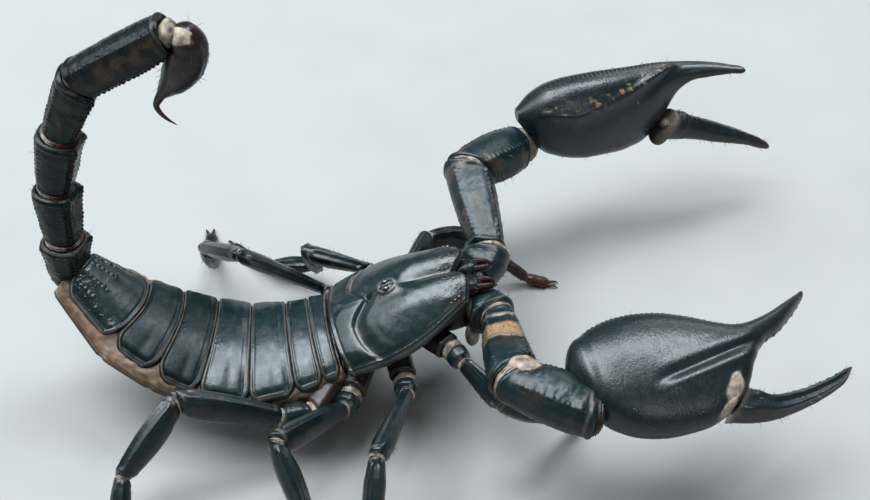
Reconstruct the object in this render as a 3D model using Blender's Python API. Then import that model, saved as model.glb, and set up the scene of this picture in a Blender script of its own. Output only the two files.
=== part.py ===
"""Emperor scorpion, life size, in a threat stance: pincers spread, head and tail raised."""

import math

import bmesh
import bpy
import numpy as np
from mathutils import Matrix, Vector

# Lengths are in millimetres and angles in degrees until solid() writes a mesh in metres.
MM = 0.001
GAP = 0.3  # clear space between pieces that meet
UP = Vector((0, 0, 1))
FLOOR = -6.0  # the floor's height in the coordinates used below

# Trunk. The head's rear edge is where every chain of pieces starts.
HEAD_REAR = Vector((-19.8, -24.2, 15.7))
HEAD_YAW = 9
HEAD_PITCH = 24
HEAD_LENGTH = 24.9  # on the midline, from the rear edge to the notch
LOBE_REACH = 2.8  # the front lobes stand this far ahead of the notch
EYE_X = 12.8  # the median eyes' distance from the rear edge
EYE_RADIUS = 0.62
EYE_SPREAD = 0.85  # half the distance between the median eyes' centres
SIDE_EYE_RADIUS = 0.42
PLATE = 1.2  # thickness of a back plate

# Each back plate: length, and the yaw and pitch of its forward direction, from the head back.
TERGITES = (
    (3.7, 13, 15),
    (4.6, 10, 13),
    (7.2, 4, 6),
    (7.4, -6, -7),
    (7.6, -11, -16),
    (8.0, -16, -20),
    (13.0, -23, -30),
)
# Trunk at the plates' edges: half width, drop from crown to rim, depth from crown to belly,
# how far the soft flank stands out past the rim, and the yaw of the edge's forward direction.
TRUNK = (
    (10.4, 3.2, 9.0, 0.0, 9),
    (11.0, 3.3, 9.6, 0.0, 10.5),
    (11.8, 3.6, 10.2, 0.0, 8),
    (12.9, 3.9, 10.6, 0.0, 3),
    (12.6, 3.9, 10.6, 0.3, -4),
    (11.3, 3.6, 10.2, 1.0, -8.5),
    (8.9, 3.1, 9.0, 2.0, -18),
    (4.7, 2.4, 7.4, 0.9, -23),
)
# Head shield along the midline: distance from the rear edge, half width, crown height, drop.
SHIELD = (
    (0, 10.4, 0.0, 3.2),
    (4, 11.5, 1.2, 4.2),
    (8, 12.2, 1.7, 4.8),
    (12.8, 11.9, 1.8, 4.9),
    (18, 10.2, 1.4, 4.2),
    (22, 8.5, 0.8, 3.2),
    (24.9, 7.0, 0.1, 2.4),
)

# Tail: length, yaw and pitch of each ring; half width, height above and below the axis.
TAIL_BASE = Vector((-68.9, -17.2, 21.1))
TAIL = (
    (9.5, 142, 92, 4.1, 3.9, 4.0),
    (12.0, 87, 85, 3.9, 3.8, 3.9),
    (13.0, -2, 78, 3.9, 3.9, 3.9),
    (14.0, -7, 67, 3.7, 3.7, 3.8),
    (20.5, -8, 35, 3.8, 3.6, 4.0),
)
TAIL_FACING = (-22, -18, -10, -8, -8)  # yaw that the upper side of each ring faces

# Sting along its curve: forward and up from the tail's end, sideways, half width, half depth.
VESICLE = (
    (1.8, 1.0, 0.0, 2.0, 2.1),
    (2.9, -1.4, 0.0, 3.0, 3.2),
    (2.9, -3.6, 0.0, 3.4, 3.5),
    (1.9, -6.6, 0.0, 3.5, 3.5),
    (0.4, -9.3, 0.0, 2.8, 2.9),
    (-1.4, -11.7, 0.0, 1.7, 1.8),
    (-2.6, -13.3, 0.0, 1.0, 1.0),
)
ACULEUS = (
    (-2.6, -13.3, 0.0, 1.0, 1.0),
    (-3.4, -14.7, 0.0, 0.7, 0.75),
    (-3.9, -16.1, 0.0, 0.5, 0.55),
    (-3.4, -17.7, 0.1, 0.42, 0.45),
    (-2.3, -19.1, 0.2, 0.34, 0.35),
    (-0.8, -20.3, 0.3, 0.25, 0.25),
)

# Pincers seen square to their flat side: distance along, inner edge, outer edge, half
# thickness, and how far the middle stands up from the flat.
HANDS = {
    "r": (
        (-2.6, 9.8, 7.6, 1.4, 0.0),
        (-1.4, 12.6, 3.2, 3.6, 0.0),
        (1.5, 14.8, -1.6, 5.0, 0.0),
        (5.0, 16.2, -4.4, 5.8, 0.1),
        (10.0, 16.9, -6.2, 6.1, 0.4),
        (16.0, 16.2, -6.6, 5.9, 1.0),
        (21.0, 14.3, -6.0, 5.3, 2.0),
        (25.0, 12.2, -3.9, 4.6, 3.0),
        (28.0, 10.9, -0.8, 3.9, 3.7),
        (30.4, 10.6, 3.6, 3.1, 4.1),
        (33.0, 11.0, 6.2, 2.5, 4.1),
        (37.0, 12.3, 8.2, 2.1, 3.5),
        (42.0, 14.6, 11.8, 1.6, 1.9),
        (46.8, 16.8, 15.9, 0.5, 0.0),
    ),
    "l": (
        (-2.0, 9.6, 7.4, 1.4, 0.0),
        (0.6, 12.2, 3.6, 3.8, 0.0),
        (3.0, 14.0, 0.0, 5.0, 0.0),
        (6.5, 15.1, -2.2, 5.8, 0.1),
        (12.0, 15.7, -3.9, 6.1, 0.4),
        (17.5, 15.6, -4.3, 5.9, 1.0),
        (23.0, 15.2, -4.5, 5.3, 2.0),
        (27.5, 14.8, -2.8, 4.6, 3.0),
        (30.5, 14.4, 1.4, 3.6, 3.7),
        (33.0, 13.9, 6.8, 2.7, 4.1),
        (35.5, 13.8, 9.4, 2.1, 4.0),
        (39.5, 14.0, 11.0, 1.6, 3.0),
        (43.5, 14.1, 12.4, 1.1, 1.5),
        (46.4, 14.0, 13.5, 0.4, 0.0),
    ),
}
# Moving fingers in the same plane: along, across, half width, half thickness.
FINGERS = {
    "r": (
        (24.5, -2.0, 3.6, 4.0),
        (29.0, -3.3, 3.1, 3.3),
        (33.0, -4.3, 2.2, 2.5),
        (38.0, -4.0, 1.7, 1.9),
        (44.0, -2.7, 1.3, 1.4),
        (48.5, -1.1, 0.9, 0.9),
        (51.0, 0.4, 0.35, 0.35),
    ),
    "l": (
        (27.0, 2.6, 3.9, 4.0),
        (31.5, 1.5, 3.3, 3.3),
        (36.0, 0.0, 2.6, 2.6),
        (42.5, -2.4, 2.1, 2.2),
        (50.0, -5.4, 1.3, 1.4),
        (54.0, -7.4, 0.8, 0.8),
        (56.0, -8.4, 0.35, 0.35),
    ),
}
# Where the moving finger's hinge line starts and ends, from the inner to the outer edge.
HINGES = {
    "r": (Vector((30.9, 2.4, 0)), Vector((23.6, -6.0, 0))),
    "l": (Vector((33.2, 4.9, 0)), Vector((28.6, -1.6, 0))),
}

# Pincer arms: where each starts; length, yaw and pitch of trochanter, femur and patella; and
# the pincer's yaw, pitch and tilt about its length.
ARM_STARTS = {"r": Vector((7.5, -22.9, 18.2)), "l": Vector((7.8, -15.0, 18.0))}
ARMS = {
    "r": ((5.6, -43, 8), (20.0, -83, 13), (15.6, -25, -6)),
    "l": ((6.5, 66, 5), (19.6, 102, 12), (17.5, 47, -14)),
}
PINCERS = {"r": (17.5, -6, 20), "l": (13, -3, 90)}

# Where each leg starts, at the outer end of its coxa.
HIPS = {
    "r1": Vector((3.4, -31.2, 14.8)),
    "r2": Vector((-5.6, -34.2, 9.2)),
    "r3": Vector((-15.8, -35.6, 6.8)),
    "r4": Vector((-22.8, -38.8, 5.9)),
    "l1": Vector((5.2, -14.0, 11.2)),
    "l2": Vector((-7.6, -11.4, 8.8)),
    "l3": Vector((-12.9, -10.6, 7.6)),
    "l4": Vector((-19.6, -11.9, 6.6)),
}
# Length, yaw and pitch of each leg's trochanter, femur, patella and tibia, then the foot's
# yaw. The foot slopes down from the tibia to the floor.
LEGS = {
    "r1": ((3.6, -58, -5), (10.3, -50, -8), (11.5, 5, -28), (8.8, 59, -50), 50),
    "r2": ((3.6, -83, 8), (18.6, -106, 11), (13.7, -97, -41), (10.0, -94, -36), -84),
    "r3": ((4.0, -108, 6), (18.9, -129, 22), (15.1, -61, -38), (10.2, -95, -39), -102),
    "r4": ((6.2, -162, 8), (20.0, -171, 23), (16.4, -133, -32), (11.3, -97, -41), -98),
    "l1": ((3.0, 74, 10), (9.2, 80, 8), (11.0, 78, -31), (8.5, -11, -55), -4),
    "l2": ((3.6, 74, 2), (15.6, 71, -10), (13.4, 30, -24), (9.6, 85, -21), 86),
    "l3": ((5.6, 92, 28), (12.2, 164, 4), (14.2, 92, -53), (9.6, 168, -16), 138),
    "l4": ((4.2, 124, 12), (18.5, -179, 32), (15.6, 129, -32), (11.3, 90, -59), 100),
}
LEG_SCALE = {"1": 0.88, "2": 0.93, "3": 0.98, "4": 1.05}
# Lean of the upper edge toward the back, in degrees, and the share of the width, for the legs
# of the far side, which lie over on their flat sides.
LEANING = {"l3": (35, 0.88), "l4": (45, 0.76)}
FOOT = (7.2, 6.0)  # lengths of basitarsus and tarsus, before scaling
FOOT_BEND = 1.4  # the basitarsus slopes this much more than the foot as a whole
FOOT_HEIGHT = 0.55  # axis of the last foot piece above the floor, before scaling


def direction(yaw, pitch):
    yaw, pitch = math.radians(yaw), math.radians(pitch)
    return Vector((math.cos(yaw) * math.cos(pitch), math.sin(yaw) * math.cos(pitch), math.sin(pitch)))


def place(origin, forward, up=UP):
    """Local frame: X along the piece, Z to its upper side, Y to its left."""
    x = forward.normalized()
    z = (up - x * up.dot(x)).normalized()
    matrix = Matrix((x, z.cross(x), z)).transposed().to_4x4()
    matrix.translation = origin
    return matrix


def lookup(table, x):
    """Values at x on a smooth curve through the rows of a table sorted by its first column."""
    rows = np.array(table, float)
    keys = rows[:, 0]
    x = min(max(x, keys[0]), keys[-1])
    i = min(int(np.searchsorted(keys, x, side="right")) - 1, len(keys) - 2)
    span = keys[i + 1] - keys[i]
    slopes = np.gradient(rows[:, 1:], keys, axis=0) * span
    t = (x - keys[i]) / span
    start = (2 * t**3 - 3 * t**2 + 1) * rows[i, 1:] + (t**3 - 2 * t**2 + t) * slopes[i]
    return start + (3 * t**2 - 2 * t**3) * rows[i + 1, 1:] + (t**3 - t**2) * slopes[i + 1]


def oval(frame, x, y, z, half, top, bottom, sides, power=2.0):
    """Ring of points across a piece; a power above 2 makes it boxier."""
    points = []
    for i in range(sides):
        angle = 2 * math.pi * (i + 0.5) / sides
        c, s = math.cos(angle), math.sin(angle)
        c = math.copysign(abs(c) ** (2 / power), c)
        s = math.copysign(abs(s) ** (2 / power), s)
        points.append(frame @ Vector((x, y + half * c, z + (top if s > 0 else bottom) * s)))
    return points


def material(name, colour, roughness):
    made = bpy.data.materials.new(name)
    made.use_nodes = True
    shader = made.node_tree.nodes["Principled BSDF"]
    shader.inputs["Base Color"].default_value = (*colour, 1)
    shader.inputs["Roughness"].default_value = roughness
    shader.inputs["Metallic"].default_value = 0
    return made


def solid(name, mesh, look, cuts=()):
    """Object from a bmesh; each cut is a point and the direction of the side it removes."""
    for point, away in cuts:
        parts = mesh.verts[:] + mesh.edges[:] + mesh.faces[:]
        bmesh.ops.bisect_plane(mesh, geom=parts, plane_co=point, plane_no=away, clear_outer=True)
        bmesh.ops.holes_fill(mesh, edges=[edge for edge in mesh.edges if edge.is_boundary])
    bmesh.ops.remove_doubles(mesh, verts=mesh.verts[:], dist=0.01)
    bmesh.ops.recalc_face_normals(mesh, faces=mesh.faces[:])
    bmesh.ops.scale(mesh, vec=(MM, MM, MM), verts=mesh.verts[:])
    data = bpy.data.meshes.new(name)
    mesh.to_mesh(data)
    mesh.free()
    data.shade_smooth()
    data.set_sharp_from_angle(angle=math.radians(50))
    data.materials.append(look)
    made = bpy.data.objects.new(name, data)
    bpy.context.collection.objects.link(made)
    return made


def loft(rings):
    """Closed bmesh through rings of equal length."""
    mesh = bmesh.new()
    rows = [[mesh.verts.new(point) for point in ring] for ring in rings]
    count = len(rows[0])
    for low, high in zip(rows, rows[1:]):
        for i in range(count):
            j = (i + 1) % count
            mesh.faces.new((low[i], low[j], high[j], high[i]))
    mesh.faces.new(rows[0])
    mesh.faces.new(rows[-1])
    return mesh


def shell(tops, bottoms):
    """Closed bmesh between an upper and a lower grid of points."""
    mesh = bmesh.new()
    upper = [[mesh.verts.new(point) for point in row] for row in tops]
    lower = [[mesh.verts.new(point) for point in row] for row in bottoms]
    rows, columns = len(upper), len(upper[0])
    for grid in (upper, lower):
        for i in range(rows - 1):
            for j in range(columns - 1):
                mesh.faces.new((grid[i][j], grid[i][j + 1], grid[i + 1][j + 1], grid[i + 1][j]))
    for i in range(rows - 1):
        for j in (0, columns - 1):
            mesh.faces.new((upper[i][j], upper[i + 1][j], lower[i + 1][j], lower[i][j]))
    for i in (0, rows - 1):
        for j in range(columns - 1):
            mesh.faces.new((upper[i][j], upper[i][j + 1], lower[i][j + 1], lower[i][j]))
    return mesh


def between(before, after):
    """Direction square to the plane that halves the bend between two pieces."""
    return (before.normalized() + after.normalized()).normalized()


def start_cut(point, before, after):
    away = -between(before, after)
    return point - away * (GAP / 2), away


def end_cut(point, before, after):
    away = between(before, after)
    return point - away * (GAP / 2), away


def spindle(frame, length, sections, sides, power=2.0, start=1.0, end=1.0, steps=4):
    """Rings of a limb piece with domed ends; sections give half width, top and bottom."""
    rings = []
    for angle in (20, 55):
        f = math.sin(math.radians(angle))
        half, top, bottom = lookup(sections, 0)
        x = -start * half * math.cos(math.radians(angle))
        rings.append(oval(frame, x, 0, 0, half * f, top * f, bottom * f, sides, power))
    for i in range(steps + 1):
        half, top, bottom = lookup(sections, i / steps)
        rings.append(oval(frame, length * i / steps, 0, 0, half, top, bottom, sides, power))
    for angle in (55, 20):
        f = math.sin(math.radians(angle))
        half, top, bottom = lookup(sections, 1)
        x = length + end * half * math.cos(math.radians(angle))
        rings.append(oval(frame, x, 0, 0, half * f, top * f, bottom * f, sides, power))
    return rings


def merge(base, extra):
    """Unite a helper solid with an object, leaving the helper as a hidden guide."""
    modifier = base.modifiers.new("join_" + extra.name, "BOOLEAN")
    modifier.operation = "UNION"
    modifier.solver = "EXACT"
    modifier.object = extra
    extra.hide_render = True
    extra.display_type = "WIRE"


def carve(base, cutter):
    modifier = base.modifiers.new("cut_" + cutter.name, "BOOLEAN")
    modifier.operation = "DIFFERENCE"
    modifier.solver = "EXACT"
    modifier.object = cutter
    cutter.hide_render = True
    cutter.display_type = "WIRE"


# Head -----------------------------------------------------------------------------------


def head_frame():
    return place(HEAD_REAR, direction(HEAD_YAW, HEAD_PITCH))


def shield_point(frame, s, u, sink):
    """Point of the head shield: s runs from the rear edge to the front, u from side to side."""
    front = HEAD_LENGTH + LOBE_REACH * math.sin(min(abs(u) / 0.5, 1) * math.pi / 2)
    front -= 4.4 * max(abs(u) - 0.55, 0) ** 1.3
    rear = 1.9 * abs(u) ** 2.2
    half, crown, drop = lookup(SHIELD, s * HEAD_LENGTH)
    tubercle = 0.75 * math.exp(-(((s * HEAD_LENGTH - EYE_X) / 2.4) ** 2) - (u / 0.16) ** 2)
    x = rear + (front - rear) * s
    return frame @ Vector((x, u * (half - 0.35 * sink), crown + tubercle - drop * abs(u) ** 2.3 - sink))


def head(looks):
    frame = head_frame()
    steps = [i / 8 for i in range(9)]
    across = [i / 6 for i in range(-6, 7)]
    tops = [[shield_point(frame, s, u, 0) for u in across] for s in steps]
    bottoms = [[shield_point(frame, s, u, PLATE) for u in across] for s in steps]
    shield = solid("carapace", shell(tops, bottoms), looks["shell"])
    for side, sign in (("r", -1), ("l", 1)):
        middle = frame @ Vector((EYE_X, sign * EYE_SPREAD, 2.35))
        ball(("eye_median_" + side), middle, EYE_RADIUS, looks["eye"])
        carve(shield, ball("socket_" + side, middle, EYE_RADIUS + GAP, looks["eye"]))
        side_eyes(side, sign, frame, shield, looks["eye"])


def ball(name, middle, radius, look):
    mesh = bmesh.new()
    bmesh.ops.create_icosphere(mesh, subdivisions=2, radius=radius, matrix=Matrix.Translation(middle))
    return solid(name, mesh, look)


def side_eyes(side, sign, frame, shield, look):
    """Three small eyes in a row on the shield's front corner, and the groove they sit in."""
    middle = frame @ Vector((HEAD_LENGTH - 0.6, sign * 6.9, -1.3))
    along = frame.to_3x3() @ Vector((1, -0.35 * sign, 0.05))
    row = place(middle, along)
    reach = 1.5  # from the row's middle to either end
    rings = []
    for x in np.linspace(-reach, reach, 11):
        nearest = min((-0.95, 0, 0.95), key=lambda centre: abs(centre - x))
        radius = SIDE_EYE_RADIUS * math.sqrt(max(1 - ((x - nearest) / 0.62) ** 2, 0.12))
        rings.append(oval(row, x, 0, 0, radius, radius, radius, 7))
    solid("eyes_lateral_" + side, loft(rings), look)
    wide = SIDE_EYE_RADIUS + GAP
    rings = [oval(row, x, 0, 0, wide, wide, wide, 7) for x in (-reach - GAP, reach + GAP)]
    carve(shield, solid("groove_" + side, loft(rings), look))


def leg_root(name):
    """Inner end of the leg's coxa, beside the breastbone."""
    sign = 1 if name[0] == "l" else -1
    return head_frame() @ Vector((16.5 - 3.6 * int(name[1]), sign * 2.4, -6.6))


def coxa_rings(name, grow):
    root = leg_root(name)
    along = HIPS[name] - root
    sections = ((0, 2.2, 2.2, 2.0), (1, 2.6, 2.5, 2.4))
    grown = [(row[0], *(size + grow for size in row[1:])) for row in sections]
    return spindle(place(root, along), along.length, grown, 7, steps=1)


def underside(looks):
    """Floor of the head with the legs' coxae, in one piece."""
    frame = head_frame()
    steps = [i / 5 for i in range(6)]
    across = [i / 3 for i in range(-3, 4)]
    tops = []
    bottoms = []
    for s in steps:
        tops.append([])
        bottoms.append([])
        for u in across:
            point = frame.inverted() @ shield_point(frame, 0.04 + 0.86 * s, u * 0.8, PLATE + GAP)
            tops[-1].append(frame @ point)
            low = 1.6 * s + 0.8 * u**2 - 9.2
            bottoms[-1].append(frame @ Vector((point.x, point.y * 0.62, low)))
    body = solid("coxosternum", shell(tops, bottoms), looks["belly"])
    for name, links in LEGS.items():
        hip = HIPS[name]
        cut = end_cut(hip, hip - leg_root(name), direction(*links[0][1:]))
        merge(body, solid("coxa_" + name, loft(coxa_rings(name, 0)), looks["belly"], [cut]))
    for side, links in ARMS.items():
        start = ARM_STARTS[side]
        root = arm_root(side)
        along = start - root
        sections = ((0, 2.4, 2.6, 2.6), (1, 3.0, 3.1, 3.1))
        rings = spindle(place(root, along), along.length, sections, 9, steps=1)
        cut = end_cut(start, along, direction(*links[0][1:]))
        merge(body, solid("coxa_arm_" + side, loft(rings), looks["belly"], [cut]))
    return body


def chelicerae(floor, looks):
    """Small jaws under the front of the shield, in hollows of the head's floor."""
    frame = head_frame()
    for side, sign in (("r", -1), ("l", 1)):
        start = frame @ Vector((HEAD_LENGTH - 0.5, sign * 2.05, -3.2))
        along = frame.to_3x3() @ Vector((1, sign * 0.04, -0.12))
        sections = ((0, 1.7, 1.4, 1.7), (0.55, 1.8, 1.7, 1.9), (1, 1.35, 1.2, 1.3))
        grown = [(row[0], *(size + GAP for size in row[1:])) for row in sections]
        jaw = place(start, along)
        body = solid("chelicera_" + side, loft(spindle(jaw, 5.6, sections, 8, steps=3)), looks["shell"])
        carve(floor, solid("clear_jaw_" + side, loft(spindle(jaw, 5.6, grown, 8, steps=3)), looks["shell"]))
        for finger, across in (("fixed", -0.7), ("moving", 0.7)):
            rings = []
            for t in (0, 0.5, 1):
                thick = 1.15 - 0.85 * t
                spot = (5 + 3.4 * t, sign * across * (1 - 0.5 * t), 0.2 - 0.6 * t)
                rings.append(oval(jaw, *spot, 0.75 * thick, thick, thick, 5))
            merge(body, solid("jaw_" + finger + "_" + side, loft(rings), looks["shell"]))


# Trunk ----------------------------------------------------------------------------------


def trunk_frames():
    """Frame of each edge between back plates, on the crown of the back."""
    point = HEAD_REAR.copy()
    slopes = [HEAD_PITCH] + [pitch for _, _, pitch in TERGITES] + [TERGITES[-1][2]]
    frames = []
    for i, row in enumerate(TRUNK):
        frames.append(place(point, direction(row[-1], (slopes[i] + slopes[i + 1]) / 2)))
        if i < len(TERGITES):
            length, yaw, pitch = TERGITES[i]
            point = point - direction(yaw, pitch) * length
    return frames


def trunk_point(frames, i, t, u, sink):
    """Point on back plate i: t runs back along it and u across it, sunk below its surface."""
    half, drop, *_ = (a + (b - a) * t for a, b in zip(TRUNK[i], TRUNK[i + 1]))
    local = Vector((0, u * (half - 0.3 * sink), -drop * abs(u) ** 2.3 - sink))
    return (frames[i] @ local).lerp(frames[i + 1] @ local, t)


def back_plates(looks):
    frames = trunk_frames()
    across = [i / 4 for i in range(-4, 5)]
    for i, (length, _, _) in enumerate(TERGITES):
        edge = GAP / 2 / length
        steps = (edge if i else 2.5 * edge, 0.5, 1 - edge)
        tops = [[trunk_point(frames, i, t, u, 0) for u in across] for t in steps]
        bottoms = [[trunk_point(frames, i, t, u, PLATE) for u in across] for t in steps]
        cuts = [tail_cut()] if i + 1 == len(TERGITES) else []
        solid(f"tergite_{i + 1}", shell(tops, bottoms), looks["shell"], cuts)


def tail_cut():
    """Where the trunk stops short of the tail."""
    return end_cut(TAIL_BASE, -direction(*TERGITES[-1][1:]), direction(*TAIL[0][1:3]))


def belly(looks):
    """Soft flanks and belly plates under the back plates, in one piece."""
    frames = trunk_frames()
    rings = []
    for i in range(len(TERGITES)):
        for t in (0, 0.5):
            rings.append(belly_ring(frames, i, t))
    rings.append(belly_ring(frames, len(TERGITES) - 1, 1))
    front = frames[0]
    cuts = [tail_cut()]
    cuts.append((front @ Vector((-GAP, 0, 0)), front.to_3x3() @ Vector((1, 0, 0))))
    body = solid("belly", loft(rings), looks["belly"], cuts)
    for name in LEGS:
        if name[1] in "34":
            carve(body, solid("clear_coxa_" + name, loft(coxa_rings(name, GAP)), looks["belly"]))
            carve(body, solid("clear_femur_" + name, loft(femur_rings(name, GAP)), looks["belly"]))


def belly_ring(frames, i, t):
    half, drop, depth, flare, _ = (a + (b - a) * t for a, b in zip(TRUNK[i], TRUNK[i + 1]))
    ring = [trunk_point(frames, i, t, u, PLATE + GAP) for u in (-0.92, -0.6, -0.3, 0, 0.3, 0.6, 0.92)]
    flank = -drop - PLATE - 0.9
    low = (
        (1.02 * half + 0.6 * flare, flank),
        (0.96 * half + flare, 0.4 * flank - 0.52 * depth),
        (0.74 * half + 0.6 * flare, -0.93 * depth),
        (0.35 * half, -depth),
    )
    sides = [Vector((0, y, z)) for y, z in low]
    sides += [Vector((0, -y, z)) for y, z in reversed(low)]
    for local in sides:
        ring.append((frames[i] @ local).lerp(frames[i + 1] @ local, t))
    return ring


def pectines(looks):
    """Comb organs behind the legs, under the belly."""
    edge = trunk_frames()[1]
    length, width, thick, tooth, teeth = 9.0, 1.4, 0.7, 1.2, 9
    pitch = length / teeth
    for side, sign in (("r", -1), ("l", 1)):
        root = edge @ Vector((0, sign * 2.0, -TRUNK[1][2] - 1.3))
        frame = place(root, edge.to_3x3() @ Vector((-0.5, sign, 0)))
        near = -sign * width / 2
        rim = [(0, -near), (length, -0.6 * near)]
        for i in range(teeth):
            x = length - (i + 0.5) * pitch
            rim += [(x + 0.32 * pitch, near), (x, near - sign * tooth), (x - 0.32 * pitch, near)]
        rings = [[frame @ Vector((x, y, z)) for x, y in rim] for z in (thick / 2, -thick / 2)]
        solid("pecten_" + side, loft(rings), looks["membrane"])


# Tail -----------------------------------------------------------------------------------


def tail(looks):
    """The five rings; the last also gives a grown copy that clears room for the sting."""
    point = TAIL_BASE.copy()
    before = -direction(*TERGITES[-1][1:])
    headings = [direction(yaw, pitch) for _, yaw, pitch, *_ in TAIL]
    sting = Vector((VESICLE[2][0], 0, VESICLE[2][1]))
    for i, (length, _, _, half, top, bottom) in enumerate(TAIL):
        heading = headings[i]
        after = headings[i + 1] if i + 1 < len(TAIL) else heading + 0.6 * sting.normalized()
        frame = place(point, heading, direction(TAIL_FACING[i], 0))
        sections = []
        for t, scale in ((0, 0.84), (0.25, 0.95), (0.6, 1.0), (0.85, 1.04), (1, 0.98)):
            if i + 1 == len(TAIL):
                scale = 1 - 0.16 * abs(t - 0.45) ** 1.5 - 0.22 * max(t - 0.8, 0)
            sections.append((t, half * scale, top * scale, bottom * scale))
        end = point + heading * length
        cuts = [start_cut(point, before, heading), end_cut(end, heading, after)]
        rings = spindle(frame, length, sections, 10, power=2.7, start=0.7, end=0.6, steps=3)
        solid(f"metasoma_{i + 1}", loft(rings), looks["shell"], cuts)
        point = end
        before = heading
    grown = [(row[0], *(size + GAP for size in row[1:])) for row in sections]
    rings = spindle(frame, length, grown, 10, power=2.7, start=0.7, end=0.6)
    past = (cuts[1][0] + cuts[1][1] * GAP, cuts[1][1])
    telson(point, solid("clear_tail", loft(rings), looks["shell"], [past]), looks)


def sting_point(end, row):
    ahead, up, side = row[:3]
    flat = direction(TAIL[-1][1], 0)
    return end + flat * ahead + UP * up + UP.cross(flat) * side


def telson(end, clearance, looks):
    """Poison bulb and spine, hung from the last ring."""
    heading = direction(*TAIL[-1][1:3])
    parts = (("telson_vesicle", VESICLE, 10, 10), ("telson_aculeus", ACULEUS, 7, 8))
    for name, table, sides, count in parts:
        keyed = [(i, *row) for i, row in enumerate(table)]
        path = [lookup(keyed, (len(table) - 1) * i / (count - 1)) for i in range(count)]
        points = [sting_point(end, row) for row in path]
        rings = []
        for i, row in enumerate(path):
            along = points[min(i + 1, count - 1)] - points[max(i - 1, 0)]
            rings.append(oval(place(points[i], along, -heading), 0, 0, 0, row[3], row[4], row[4], sides))
        if table is VESICLE:
            body = solid(name, loft(rings), looks["telson"])
            carve(body, clearance)
        else:
            down = (points[1] - points[0]).normalized()
            solid(name, loft(rings), looks["telson"], [(points[0] + down * GAP, -down)])


# Pincer arms ----------------------------------------------------------------------------


def arm_points(side):
    points = [ARM_STARTS[side].copy()]
    for length, yaw, pitch in ARMS[side]:
        points.append(points[-1] + direction(yaw, pitch) * length)
    return points


def arm_root(side):
    """Inner end of the arm's coxa, under the head."""
    sign = 1 if side == "l" else -1
    return head_frame() @ Vector((HEAD_LENGTH - 9.5, sign * 4.6, -5.6))


def arm(side, looks):
    points = arm_points(side)
    links = ARMS[side]
    headings = [direction(*link[1:]) for link in links] + [direction(*PINCERS[side][:2])]
    trochanter = ((0, 3.3, 3.2, 3.2), (0.5, 4.7, 4.0, 3.9), (1, 3.9, 3.6, 3.5))
    femur = ((0, 3.0, 3.1, 3.0), (0.3, 3.8, 3.8, 3.6), (0.75, 4.5, 4.2, 4.0), (1, 4.6, 4.1, 3.9))
    patella = ((0, 4.1, 3.7, 3.6), (0.3, 4.9, 4.4, 4.2), (0.7, 4.9, 4.6, 4.4), (1, 4.0, 4.0, 3.9))
    before = points[0] - arm_root(side)
    parts = (("trochanter", trochanter, 2), ("femur", femur, 3), ("patella", patella, 3))
    for i, (name, sections, steps) in enumerate(parts):
        frame = place(points[i], headings[i])
        rings = spindle(frame, links[i][0], sections, 10, power=2.3, end=0.9, steps=steps)
        cuts = [start_cut(points[i], before, headings[i])]
        cuts.append(end_cut(points[i + 1], headings[i], headings[i + 1]))
        solid(f"pedipalp_{name}_{side}", loft(rings), looks["shell"], cuts)
        before = headings[i]
    grown = [(row[0], *(size + GAP for size in row[1:])) for row in patella]
    pincer(side, points[3], before, (place(points[2], headings[2]), links[2][0], grown), looks)


def pincer_frame(side, origin):
    """X along the pincer, Y to its inner edge, Z out of the side it shows upward."""
    yaw, pitch, tilt = PINCERS[side]
    level = place(origin, direction(yaw, pitch)) @ Matrix.Rotation(math.radians(tilt), 4, "X")
    if side == "l":
        level = level @ Matrix.Scale(-1, 4, UP)
    return level


def pincer(side, origin, before, wrist, looks):
    """Hand with its fixed finger, hollowed round the wrist and the moving finger, and that finger."""
    frame = pincer_frame(side, origin)
    heading = frame.to_3x3() @ Vector((1, 0, 0))
    rings = []
    for x in np.linspace(HANDS[side][0][0], HANDS[side][-1][0], 17):
        inner, outer, thick, rise = lookup(HANDS[side], x)
        middle, half = (inner + outer) / 2, (inner - outer) / 2
        rings.append(oval(frame, x, middle, rise, half, thick, thick, 12, power=2.2))
    hand = solid("pedipalp_manus_" + side, loft(rings), looks["hand"])
    away = between(before, heading)
    past = (origin + away * (GAP / 2), away)
    rings = spindle(*wrist, 10, power=2.3, end=0.9, steps=3)
    carve(hand, solid("clear_wrist_" + side, loft(rings), looks["hand"], [past]))
    inner, outer = HINGES[side]
    hinge = inner - outer
    away = Vector((-hinge.y, hinge.x, 0)).normalized()
    for name, grow, back in (("pedipalp_finger_", 0, 0), ("clear_finger_", GAP, GAP)):
        rings = []
        for x in np.linspace(FINGERS[side][0][0], FINGERS[side][-1][0], 9):
            across, half, thick = lookup(FINGERS[side], x)
            rings.append(oval(frame, x, across, 0, half + grow, thick + grow, thick + grow, 8))
        cut = (frame @ (inner + away * back), frame.to_3x3() @ away)
        made = solid(name + side, loft(rings), looks["hand"], [cut])
    carve(hand, made)


# Legs -----------------------------------------------------------------------------------


def leg_points(leg):
    *links, foot_yaw = LEGS[leg]
    points = [HIPS[leg].copy()]
    for length, yaw, pitch in links:
        points.append(points[-1] + direction(yaw, pitch) * length)
    scale = LEG_SCALE[leg[1]]
    reach = (FOOT[0] + FOOT[1]) * scale
    tip = FLOOR + FOOT_HEIGHT * scale
    fall = math.degrees(math.asin((points[-1].z - tip) / reach))
    ankle = points[-1] + direction(foot_yaw, -FOOT_BEND * fall) * FOOT[0] * scale
    rest = (ankle.z - tip) / (FOOT[1] * scale)
    points.append(ankle)
    points.append(ankle + direction(foot_yaw, -math.degrees(math.asin(rest))) * FOOT[1] * scale)
    return points


def leg_set(name):
    """Direction of the upper edge of a leg's pieces, and the share of their width."""
    lean, slim = LEANING.get(name, (0, 1))
    return Vector((0, -math.sin(math.radians(lean)), math.cos(math.radians(lean)))), slim


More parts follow.
